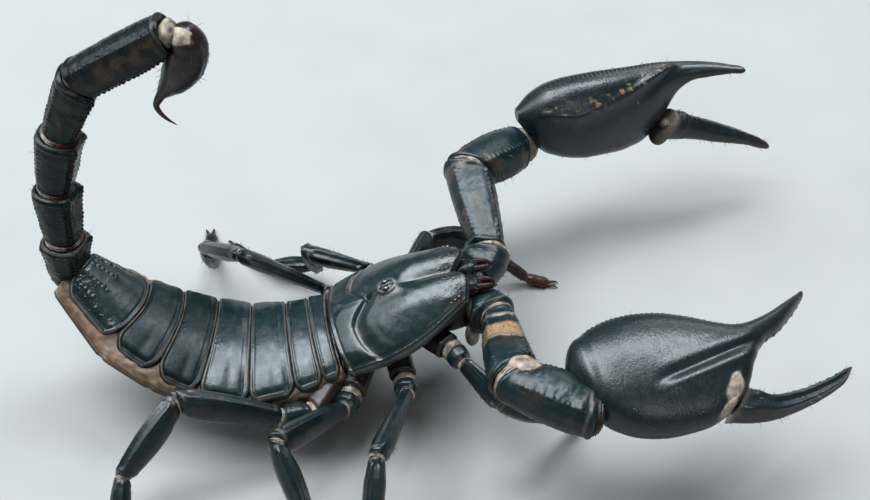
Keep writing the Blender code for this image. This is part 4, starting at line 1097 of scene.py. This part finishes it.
def tail():
    point = np.array(TAIL_BASE)
    before = -direction(*TERGITES[-1][1:])
    headings = [direction(yaw, pitch) for _, yaw, pitch, *_ in TAIL]
    sting = np.array((VESICLE[2][0], 0, VESICLE[2][1]))
    headings.append(headings[-1] + 0.6 * unit(sting))
    around_skin = ring_shape(BULB_SIDES)[0]
    for i, (length, _, _, half, top, bottom) in enumerate(TAIL):
        heading, after = headings[i : i + 2]
        final = i + 1 == len(TAIL)
        facing = direction(TAIL_FACING[i], 0)
        swell = TAIL_SWELL
        if final:
            places = [t for t, _ in TAIL_SWELL]
            swell = [(t, 1 - 0.16 * abs(t - 0.45) ** 1.5 - 0.22 * max(t - 0.8, 0)) for t in places]
        sections = [(t, half * scale, top * scale, bottom * scale) for t, scale in swell]
        first, last = between(before, heading), between(heading, after)
        matrix, gaps = place(point, heading, facing), (0.25, 0.5 if final else 0.2)
        ring = limb(matrix, length, sections, (first, last), tail_relief(i), TAIL_GRID, 2.45, gaps)
        end = point + heading * length
        if final:
            skin = {"pale": 0.2 + 0.75 * keel(around_skin, 325, 70)}
            parts = [ring, bulb(end, after, facing, half * 0.72, top * 0.68, 1.8, 1, skin)]
        else:
            # The joint skin is painted pale only on its lit side, a painted highlight, and rust-dark round
            # the rest, painted shade.
            lit_side = keel(around_skin, 318, 30)
            skin = {"pale": 0.7 * lit_side, "rust": 1 - lit_side}
            parts = [ring, bulb(end, last, facing, half * 0.88, top * 0.88, 1.5, masks=skin)]
        if i == 0:
            parts.append(bulb(point, first, facing, half * 0.86, top * 0.86, 1.8, masks={"skin": 1.0}))
        parts.append(bristles(ring, 26, 1.1, 60 + i, heading, 0.6, 0.045))
        piece(f"tail_ring_{i + 1}", parts, LOOKS["rough_shell"], [f"metasoma_{i + 1}"])
        point, before = end, heading
    telson(point)


def telson(end):
    flat = direction(TAIL[-1][1], 0)
    heading = direction(*TAIL[-1][1:3])
    table = [(k, *row) for k, row in enumerate(VESICLE + ACULEUS)]
    neck = len(VESICLE) - 1
    k = np.concatenate((np.linspace(0, neck, 110, endpoint=False), np.linspace(neck, len(table) - 1, 70)))
    ahead, up, side, half, tall = (column[:, None] for column in curve(table, k).T)
    centre = end + flat * ahead + UP * up + np.cross(UP, flat) * side
    along = unit(np.gradient(centre, axis=0))
    angle, wide, high = ring_shape(96)
    upper = unit(-heading - along * np.sum(-heading * along, axis=1, keepdims=True))
    across = np.cross(upper, along)
    k = k[:, None]
    start = np.sqrt(np.clip(1 - (1 - np.clip(k / 0.5, 0, 1)) ** 2, 0.05, 1))
    rings = centre[:, None] + across[:, None] * (half * start * wide)[..., None]
    rings = rings + upper[:, None] * (tall * start * high)[..., None]
    bulk = window(k, 6.2, 0.4, 1.2, 0, 1.5)
    height = 0.13 * granules(rings, 0.75, 71, 0.6) * keel(angle, 270, 75) + 0.05 * noise(rings, 1.3, 72)
    height = (height - 0.1 * (keel(angle, 250, 7) + keel(angle, 290, 7))) * bulk
    rings = rings + unit(rings - centre[:, None]) * height[..., None]
    # Joint skin runs on over the near shoulder of the bulb.
    forward, rise = (rings - end) @ flat, (rings - end)[..., 2]
    near = 1.0 - ((forward - 1.6) / 2.8) ** 2 - ((rise - 1.0) / 1.8) ** 2 + 0.7 * noise(rings, 1.2, 74)
    pale = 0.8 * step(near, 0, 0.25) * (keel(angle, 0, 60) > 0.3)
    body = tube(rings, {"rust": np.clip(0.1 + 0.14 * (k - 4.5), 0.1, 0.9), "pale": pale})
    hairs = bristles(body, 46, 1.5, 73, -UP, 0.5, keep=lambda p: p[:, 2] > end[2] - 12)
    piece("sting", [body, hairs], LOOKS["sting"], ["telson_vesicle", "telson_aculeus"])


# Pincer arms ------------------------------------------------------------------------------------

ARM_KEELS = {
    "trochanter": ((60, 0.2), (120, 0.2)),
    "femur": ((48, 0.45), (132, 0.45), (-50, 0.35), (-130, 0.3)),
    "patella": ((42, 0.42), (128, 0.42), (-60, 0.4), (-120, 0.3), (180, 0.3)),
}


def chain(start, links):
    """Joints of a limb from its start and the length, yaw and pitch of each segment."""
    points = [np.array(start)]
    for length, yaw, pitch in links:
        points.append(points[-1] + direction(yaw, pitch) * length)
    return points


def arm_relief(name, side):
    def relief(x, a, p, length):
        inside = window(x, length, 0.6, 2.0, 0.6, 1.6)
        beads = 0.42 + 0.2 * wave(x, 1.05, 3 * noise(p, 3.0, 84)) + 0.15 * noise(p, 1.1, 85)
        height = 0.05 * noise(p, 1.6, 80) + 0.02 * noise(p, 0.7, 81)
        height += (0.1 * granules(p, 0.75, 82, 0.35) + crests(a, ARM_KEELS[name], 7) * beads) * inside
        dusty = step(noise(p, 2.6, 83), 0.15, 0.6)
        dust = (0.14 if side == "l" else 0.03) * dusty * inside
        pale = 0.14 * bell(x - length + 0.5, 0.25)
        if name == "femur":
            height -= 0.22 * keel(a, 90, 22) * inside
        if side == "r" and name == "femur":
            # A band of dried soil across the upper side, between two pale lines.
            above = keel(a, 90, 62)
            wavy = x + 0.5 * noise(p, 1.9, 86)
            lines = bell(wavy - 3.6, 0.34) * step(noise(p, 1.5, 87), -0.6, 0.1)
            lines += 0.8 * bell(wavy - 11.3, 0.3)
            dust = np.maximum(dust, 1.1 * window(wavy, 11.2, 6.6, 7.4, 0, 0.7) * above)
            pale = np.maximum(pale, 0.7 * lines * above)
            height += (0.12 * bell(x - 3.2, 0.4) - 0.25 * bell(x - 4.2, 0.5)) * above
        if side == "r" and name == "patella":
            ribs = keel(a, 122, 30) * window(x, length, 2, 4, 1, 3)
            height += 0.06 * ribs * wave(x, 1.9, 2 * noise(p, 2.4, 88))
            # A waist before the swollen wrist end.
            waist, wrist = bell(x - length + 4.2, 0.8), bell(x - length + 2.2, 1.1)
            height += (0.26 * wrist - 0.34 * waist) * keel(a, 80, 60)
        return height, {"pale": pale, "dust": dust, "rust": 0.1 * dusty}

    return relief


def arm(side):
    links = ARMS[side]
    points = chain(ARM_STARTS[side], links)
    headings = [direction(*link[1:]) for link in links] + [direction(*PINCERS[side][:2])]
    before = points[0] - arm_root(side)
    for i, (name, sections) in enumerate(ARM_SECTIONS.items()):
        heading, end = headings[i], points[i + 1]
        first, last = between(before, heading), between(heading, headings[i + 1])
        matrix, gaps = place(points[i], heading), (0.3, ARM_GAPS[side][i])
        relief = arm_relief(name, side)
        body = limb(matrix, links[i][0], sections, (first, last), relief, ARM_GRID, 2.3, gaps)
        skin, reach = {"pale": 0.9}, 2.5
        if name == "patella":
            skin, reach = ({"skin": 0.12, "rust": 0.3}, 1.7) if side == "r" else (skin, 3.1)
        half, top = sections[-1][1] * 0.9, sections[-1][2] * 0.9
        parts = [body, bulb(end, last, UP, half, top, reach, masks=skin)]
        if side == "r" and name == "femur":
            # The elbow's skin bulges out on the inner side of the bend.
            fold, out = end + np.array((1.7, 0.7, 2.1)), np.array((1, -0.3, 0))
            parts.append(bulb(fold, out, UP, 2.6, 2.3, 3.6, 1, {"pale": 0.75, "rust": 0.9}))
        parts.append(bristles(body, 30, 1.3, 90 + i, heading, 0.4))
        piece(f"arm_{name}_{side}", parts, LOOKS["arm"], [f"pedipalp_{name}_{side}"])
        before = heading
    pincer(side, points[3])


def pincer_frame(side, origin):
    yaw, pitch, roll = PINCERS[side]
    level = place(origin, direction(yaw, pitch))
    c, s = math.cos(math.radians(roll)), math.sin(math.radians(roll))
    level[:3, 1:3] = level[:3, 1:3] @ np.array(((c, -s), (s, c)))
    if side == "l":
        level[:3, 2] *= -1
    return level


def pincer(side, origin):
    """Hand with its fixed finger, and the moving finger."""
    matrix = pincer_frame(side, origin)
    rows, sides = HAND_GRID
    x = np.linspace(HANDS[side][0][0], HANDS[side][-1][0], rows)
    inner, outer, thick, rise = (column[:, None] for column in curve(HANDS[side], x).T)
    tip = rounded(x, 1.5)[:, None]
    a, wide, high = ring_shape(sides, 2.2)
    middle, half = (inner + outer) / 2, (inner - outer) / 2
    half, thick = np.maximum(half, 0.8) * tip, np.maximum(thick, 0.9) * tip
    local = xyz(x[:, None], middle + half * wide, rise + thick * high)
    x, y, z = np.moveaxis(local, -1, 0)
    palm = window(x, 34, 0.5, 4, 0, 6)
    height = 0.045 * granules(local, 0.5, 100, 0.85) * palm * (0.6 + 0.4 * keel(a, 20, 80))
    height += 0.03 * noise(local, 3.0, 101) + 0.006 * noise(local, 0.7, 102)
    height += 0.16 * keel(a, 12, 7) * window(x, 31, 1, 3, 0, 4) * (0.5 + 0.5 * wave(x, 0.95))
    masks = {"pale": np.zeros_like(x), "rust": 0.35 * step(x, 42, 46)}
    if side == "r":
        # A slanting furrow with a ridge below it, smooth among the granules.
        line = y - (2.7 + 0.2 * (x - 13))
        run = window(x, 33, 9, 15, 0, 4) * (z > rise)
        height *= 1 - 0.95 * bell(line, 1.3) * run
        ridges = 0.4 * bell(line + 2.0, 1.1) + 0.15 * bell(line - 2.0, 1.2)
        height += (ridges - 0.5 * bell(line, 0.85)) * run
        # Two swellings of pale skin beside the moving finger's hinge.
        for (cx, cy), (ax, ay), long, short in SKIN_SPOTS:
            dx, dy = x - cx, y - cy
            reach = np.hypot((dx * ax + dy * ay) / long, (dy * ax - dx * ay) / short)
            bare = step(1.1 - reach - 0.3 * noise(local, 1.3, 106), 0, 0.3) * (z > rise)
            height += 0.12 * bare
            masks["pale"] += 0.75 * bare
    else:
        # A raised ridge between the upper and the outer face, flecked with soil.
        off = around(a, np.interp(x, (2, 9, 21, 27, 32), (306, 297, 318, 336, 350)))
        run = window(x, 34, 0.5, 4, 0, 5)
        height += (0.5 * bell(off, 8) - 0.3 * bell(off + 20, 12)) * run
        flecks = step(noise(local, 0.6, 104) + 0.5 * noise(local, 2.4, 107), 0.25, 0.8)
        masks["dust"] = 0.75 * bell(off - 8, 13) * flecks * run
    # Cutting edge of the fixed finger, facing the moving one.
    height += keel(a, 180, 16) * window(x, 46.5, 30, 34, 0, 2) * teeth(x)
    local = raised(local, height)
    # The socket that the moving finger turns in.
    first, last = np.array(HINGES[side])
    away = unit(np.array(((first - last)[1], -(first - last)[0], 0)))
    ahead = (local - first) @ away
    across, wider, thicker = np.moveaxis(curve(FINGERS[side], local[..., 0]), -1, 0)
    reach = np.hypot((local[..., 1] - across) / (wider + 0.55), local[..., 2] / (thicker + 0.55))
    inside = step(1.08 - reach, 0, 0.1) * (local[..., 0] < 40)
    local = local - away * (np.maximum(ahead + 0.9, 0) * inside)[..., None]
    masks["pale"] += 0.85 * inside * (ahead > -0.4)
    hand = tube(spot(matrix, local), masks)
    hairs = bristles(hand, 90, 1.0, 105, matrix[:3, 0], 0.7)
    piece("hand_" + side, [hand, hairs], LOOKS["hand"], ["pedipalp_manus_" + side])
    moving_finger(side, matrix, first, last, away)


def moving_finger(side, matrix, first, last, away):
    table = FINGERS[side]
    rows, sides = FINGER_GRID
    x = np.linspace(table[0][0] - 0.5, table[-1][0], rows)
    across, half, thick = (column[:, None] for column in curve(table, x).T)
    tip_size = rounded(x, 1.2)[:, None]
    a, wide, high = ring_shape(sides, 2.1)
    local = xyz(x[:, None], across + half * tip_size * wide, thick * tip_size * high)
    # The base follows the slanting hinge line.
    local = local + away * np.maximum(-((local - first) @ away) - 0.1, 0)[..., None]
    x, finger_end = local[..., 0], x[-1]
    ahead = (local - first) @ away
    tip = step(finger_end - x, 0.3, 2.5)
    height = 0.05 * noise(local, 1.6, 110) + 0.06 * granules(local, 0.7, 111, 0.4) * tip
    edges = keel(a, 0, 16) * teeth(x) + crests(a, ((60, 0.3), (120, 0.3)), 12) + 0.25 * keel(a, 180, 14)
    height += (edges - 0.2 * keel(a, 90, 12)) * step(ahead, 0.4, 3.0) * tip
    height += 0.35 * bell(ahead - 2.6, 0.9) * keel(a, 0, 60)
    local = raised(local, height)
    base = bell((local - first) @ away, 0.7)
    pale = (0.25 if side == "r" else 0.18 + 0.35 * keel(a, 20, 60)) * base
    rust = 0.35 * step(local[..., 0], finger_end - 5, finger_end)
    finger = tube(spot(matrix, local), {"pale": pale, "rust": rust})
    hinge = spot(matrix, (first + last) / 2)
    size = 0.3 if side == "r" else 0.15
    half, tall = np.linalg.norm(first - last) * size, thick[2, 0] * 2 * size
    skin = bulb(hinge, turn(matrix, away), matrix[:3, 2], half, tall, 1.2, masks={"pale": 0.6})
    hairs = bristles(finger, 60, 1.1, 112, matrix[:3, 0], 0.8)
    parts = [finger, skin, hairs]
    piece("moving_finger_" + side, parts, LOOKS["hand"], ["pedipalp_finger_" + side])


# Legs -------------------------------------------------------------------------------------------

LEG_RIDGES = {"femur": 0.22, "patella": 0.26, "tibia": 0.14}
LEG_RUST = {"basitarsus": 0.4, "tarsus": 0.75, "tibia": 0.1}
CLAW = ((-0.8, 0.35, 0.15), (0.3, 0.55, 0.3), (1.3, 0.75, 0.1), (1.9, 0.8, -0.35))
CLAW_RADII = (0.4, 0.34, 0.22, 0.07)
SPUR, SPUR_RADII = ((-1.0, 0, -0.2), (0.2, 0, -0.25), (0.8, 0, -0.4)), (0.3, 0.22, 0.08)


def leg_points(name):
    *links, foot_yaw = LEGS[name]
    points = chain(HIPS[name], links)
    first, last = (length * LEG_SCALE[name[1]] for length in FOOT)
    tip = FLOOR + FOOT_HEIGHT * LEG_SCALE[name[1]]
    fall = math.degrees(math.asin((points[-1][2] - tip) / (first + last)))
    ankle = points[-1] + direction(foot_yaw, -FOOT_BEND * fall) * first
    rest = math.degrees(math.asin((ankle[2] - tip) / last))
    return points + [ankle, ankle + direction(foot_yaw, -rest) * last]


def leg_relief(name, red):
    ridge = LEG_RIDGES.get(name, 0.05)

    def relief(x, a, p, length):
        inside = window(x, length, 0.4, 1.5, 0.4, 1.4)
        height = 0.035 * noise(p, 1.2, 120) + 0.05 * granules(p, 0.6, 121, 0.35) * inside
        height += ridge * crests(a, ((68, 1), (112, 1), (-70, 1), (-110, 1)), 9) * inside
        height -= 0.5 * ridge * keel(a, 90, 14) * inside
        ends = (bell(x - 0.2, 0.35) + bell(length - x - 0.2, 0.35)) * step(noise(p, 0.9, 123), -0.2, 0.5)
        rust = red * LEG_RUST.get(name, 0.0) + 0.12 * noise(p, 1.5, 122)
        return height, {"rust": rust, "pale": 0.3 * ends}

    return relief


def leg(name):
    points = leg_points(name)
    scale = LEG_SCALE[name[1]]
    headings = [b - a for a, b in zip(points, points[1:])]
    before = points[0] - leg_root(name)
    lean, slim = LEANING.get(name, (0, 1))
    up = np.array((0, -math.sin(math.radians(lean)), math.cos(math.radians(lean))))
    red = RED_FEET[name]
    groups = {"femur": [], "patella": [], "foot": []}
    for i, (part, table) in enumerate(LEG_SECTIONS.items()):
        heading = headings[i]
        thin = scale * (slim if i < 3 else 1)
        sections = [(t, half * thin, top * scale, low * scale) for t, half, top, low in table]
        final = i + 1 == len(LEG_SECTIONS)
        first, last = between(before, heading), between(heading, heading if final else headings[i + 1])
        small = part in ("basitarsus", "tarsus")
        grid, gaps = (FOOT_GRID, (0.1, 0.15)) if small else (LEG_GRID, (0.15, 0.25))
        matrix, length = place(points[i], heading, up), np.linalg.norm(heading)
        relief = leg_relief(part, red)
        body = limb(matrix, length, sections, (first, last), relief, grid, 2.1, gaps, 0.06)
        group = groups["femur" if i < 2 else "patella" if i == 2 else "foot"]
        group.append(body)
        if not final:
            half, top = sections[-1][1] * 0.86, sections[-1][2] * 0.86
            skin = {"pale": LEG_SKIN[i]}
            group.append(bulb(points[i + 1], last, up, half, top, 1.2 * scale, 3, skin, sides=28))
        group.append(bristles(body, 40 if small else 24, 0.9, 130 + i, heading, 0.9, 0.045))
        before = heading
    foot = groups["foot"]
    ankle, end = points[5:]
    flat = place(end, headings[5] * np.array((1, 1, 0)))
    for sign in (-1, 1):
        path = np.array(CLAW) * (1, sign, 1) * scale
        foot.append(strand(spot(flat, path), np.array(CLAW_RADII) * scale, 12, {"rust": 0.9 * red}))
    spur = spot(flat, np.array(SPUR) * scale)
    foot.append(strand(spur, SPUR_RADII, 8, {"rust": 0.9 * red}, rows=8))
    for i in range(3):
        for sign in (-1, 1):
            root = ankle + (end - ankle) * (0.3 + 0.22 * i)
            side = np.cross(unit(headings[5]), UP) * sign
            path = [root + side * 0.7 * scale - UP * 0.3, root + side * 1.25 * scale - UP * 0.75]
            foot.append(strand(path, (0.14, 0.04), 6, {"rust": red}, rows=5))
    for part in foot:
        part["points"][:, 2] = np.maximum(part["points"][:, 2], FLOOR)
    for key, parts in groups.items():
        piece(f"leg_{name}_{key}_fine", parts, LOOKS["leg"], [f"leg_{name}_{key}"])


# Stage ------------------------------------------------------------------------------------------


def aimed(name, data, offset):
    """Lamp or camera at a place seen from the model, turned toward it."""
    made = bpy.data.objects.new(name, data)
    bpy.context.scene.collection.objects.link(made)
    target = Vector((np.array(LOOK_AT) + SHIFT) * MM)
    made.location = target + Vector(offset)
    made.rotation_mode = "QUATERNION"
    made.rotation_quaternion = (-Vector(offset)).to_track_quat("-Z", "Y")
    return made


def stage():
    w = Wiring("floor")
    w.shade("Base Color", w.mix(w.spread(w.noise(40, 2), 0.3, 0.7), *FLOOR_TONES))
    w.shade("Roughness", 0.9)
    w.shade("Specular IOR Level", 0.1)
    mesh = bpy.data.meshes.new("floor")
    corners = [(x * FLOOR_HALF, y * FLOOR_HALF, 0) for x, y in ((-1, -1), (1, -1), (1, 1), (-1, 1))]
    mesh.from_pydata(corners, [], [(0, 1, 2, 3)])
    mesh.materials.append(w.material)
    floor = bpy.data.objects.new("floor", mesh)
    bpy.context.scene.collection.objects.link(floor)
    for name, (offset, size, power, colour) in LAMPS.items():
        data = bpy.data.lights.new(name, "AREA")
        data.shape, data.size, data.energy, data.color = "SQUARE", size, power, colour
        aimed(name, data, offset)
    scene = bpy.context.scene
    scene.world = bpy.data.worlds.new("studio")
    scene.world.use_nodes = True
    sky = scene.world.node_tree.nodes["Background"]
    sky.inputs["Color"].default_value = SKY
    sky.inputs["Strength"].default_value = SKY_STRENGTH
    scene.view_settings.view_transform = "Standard"
    data = bpy.data.cameras.new("camera")
    data.sensor_width = SENSOR
    data.lens = SENSOR / 2 / math.tan(math.radians(CAMERA_HALF_VIEW))
    data.clip_start = 0.01
    scene.camera = aimed("camera", data, direction(-90, CAMERA_ELEVATION) * CAMERA_DISTANCE)


head()
jaws()
underside()
for i in range(len(TERGITES)):
    # The fifth and sixth plates take the darker copy of the shell, painted shade.
    look = LOOKS["shaded_shell" if i in SHADED_PLATES else "shell"]
    piece(f"back_plate_{i + 1}", [tergite(i)], look, [f"tergite_{i + 1}"], 60)
belly()
combs()
tail()
for side in ARMS:
    arm(side)
for name in LEGS:
    leg(name)
stage()
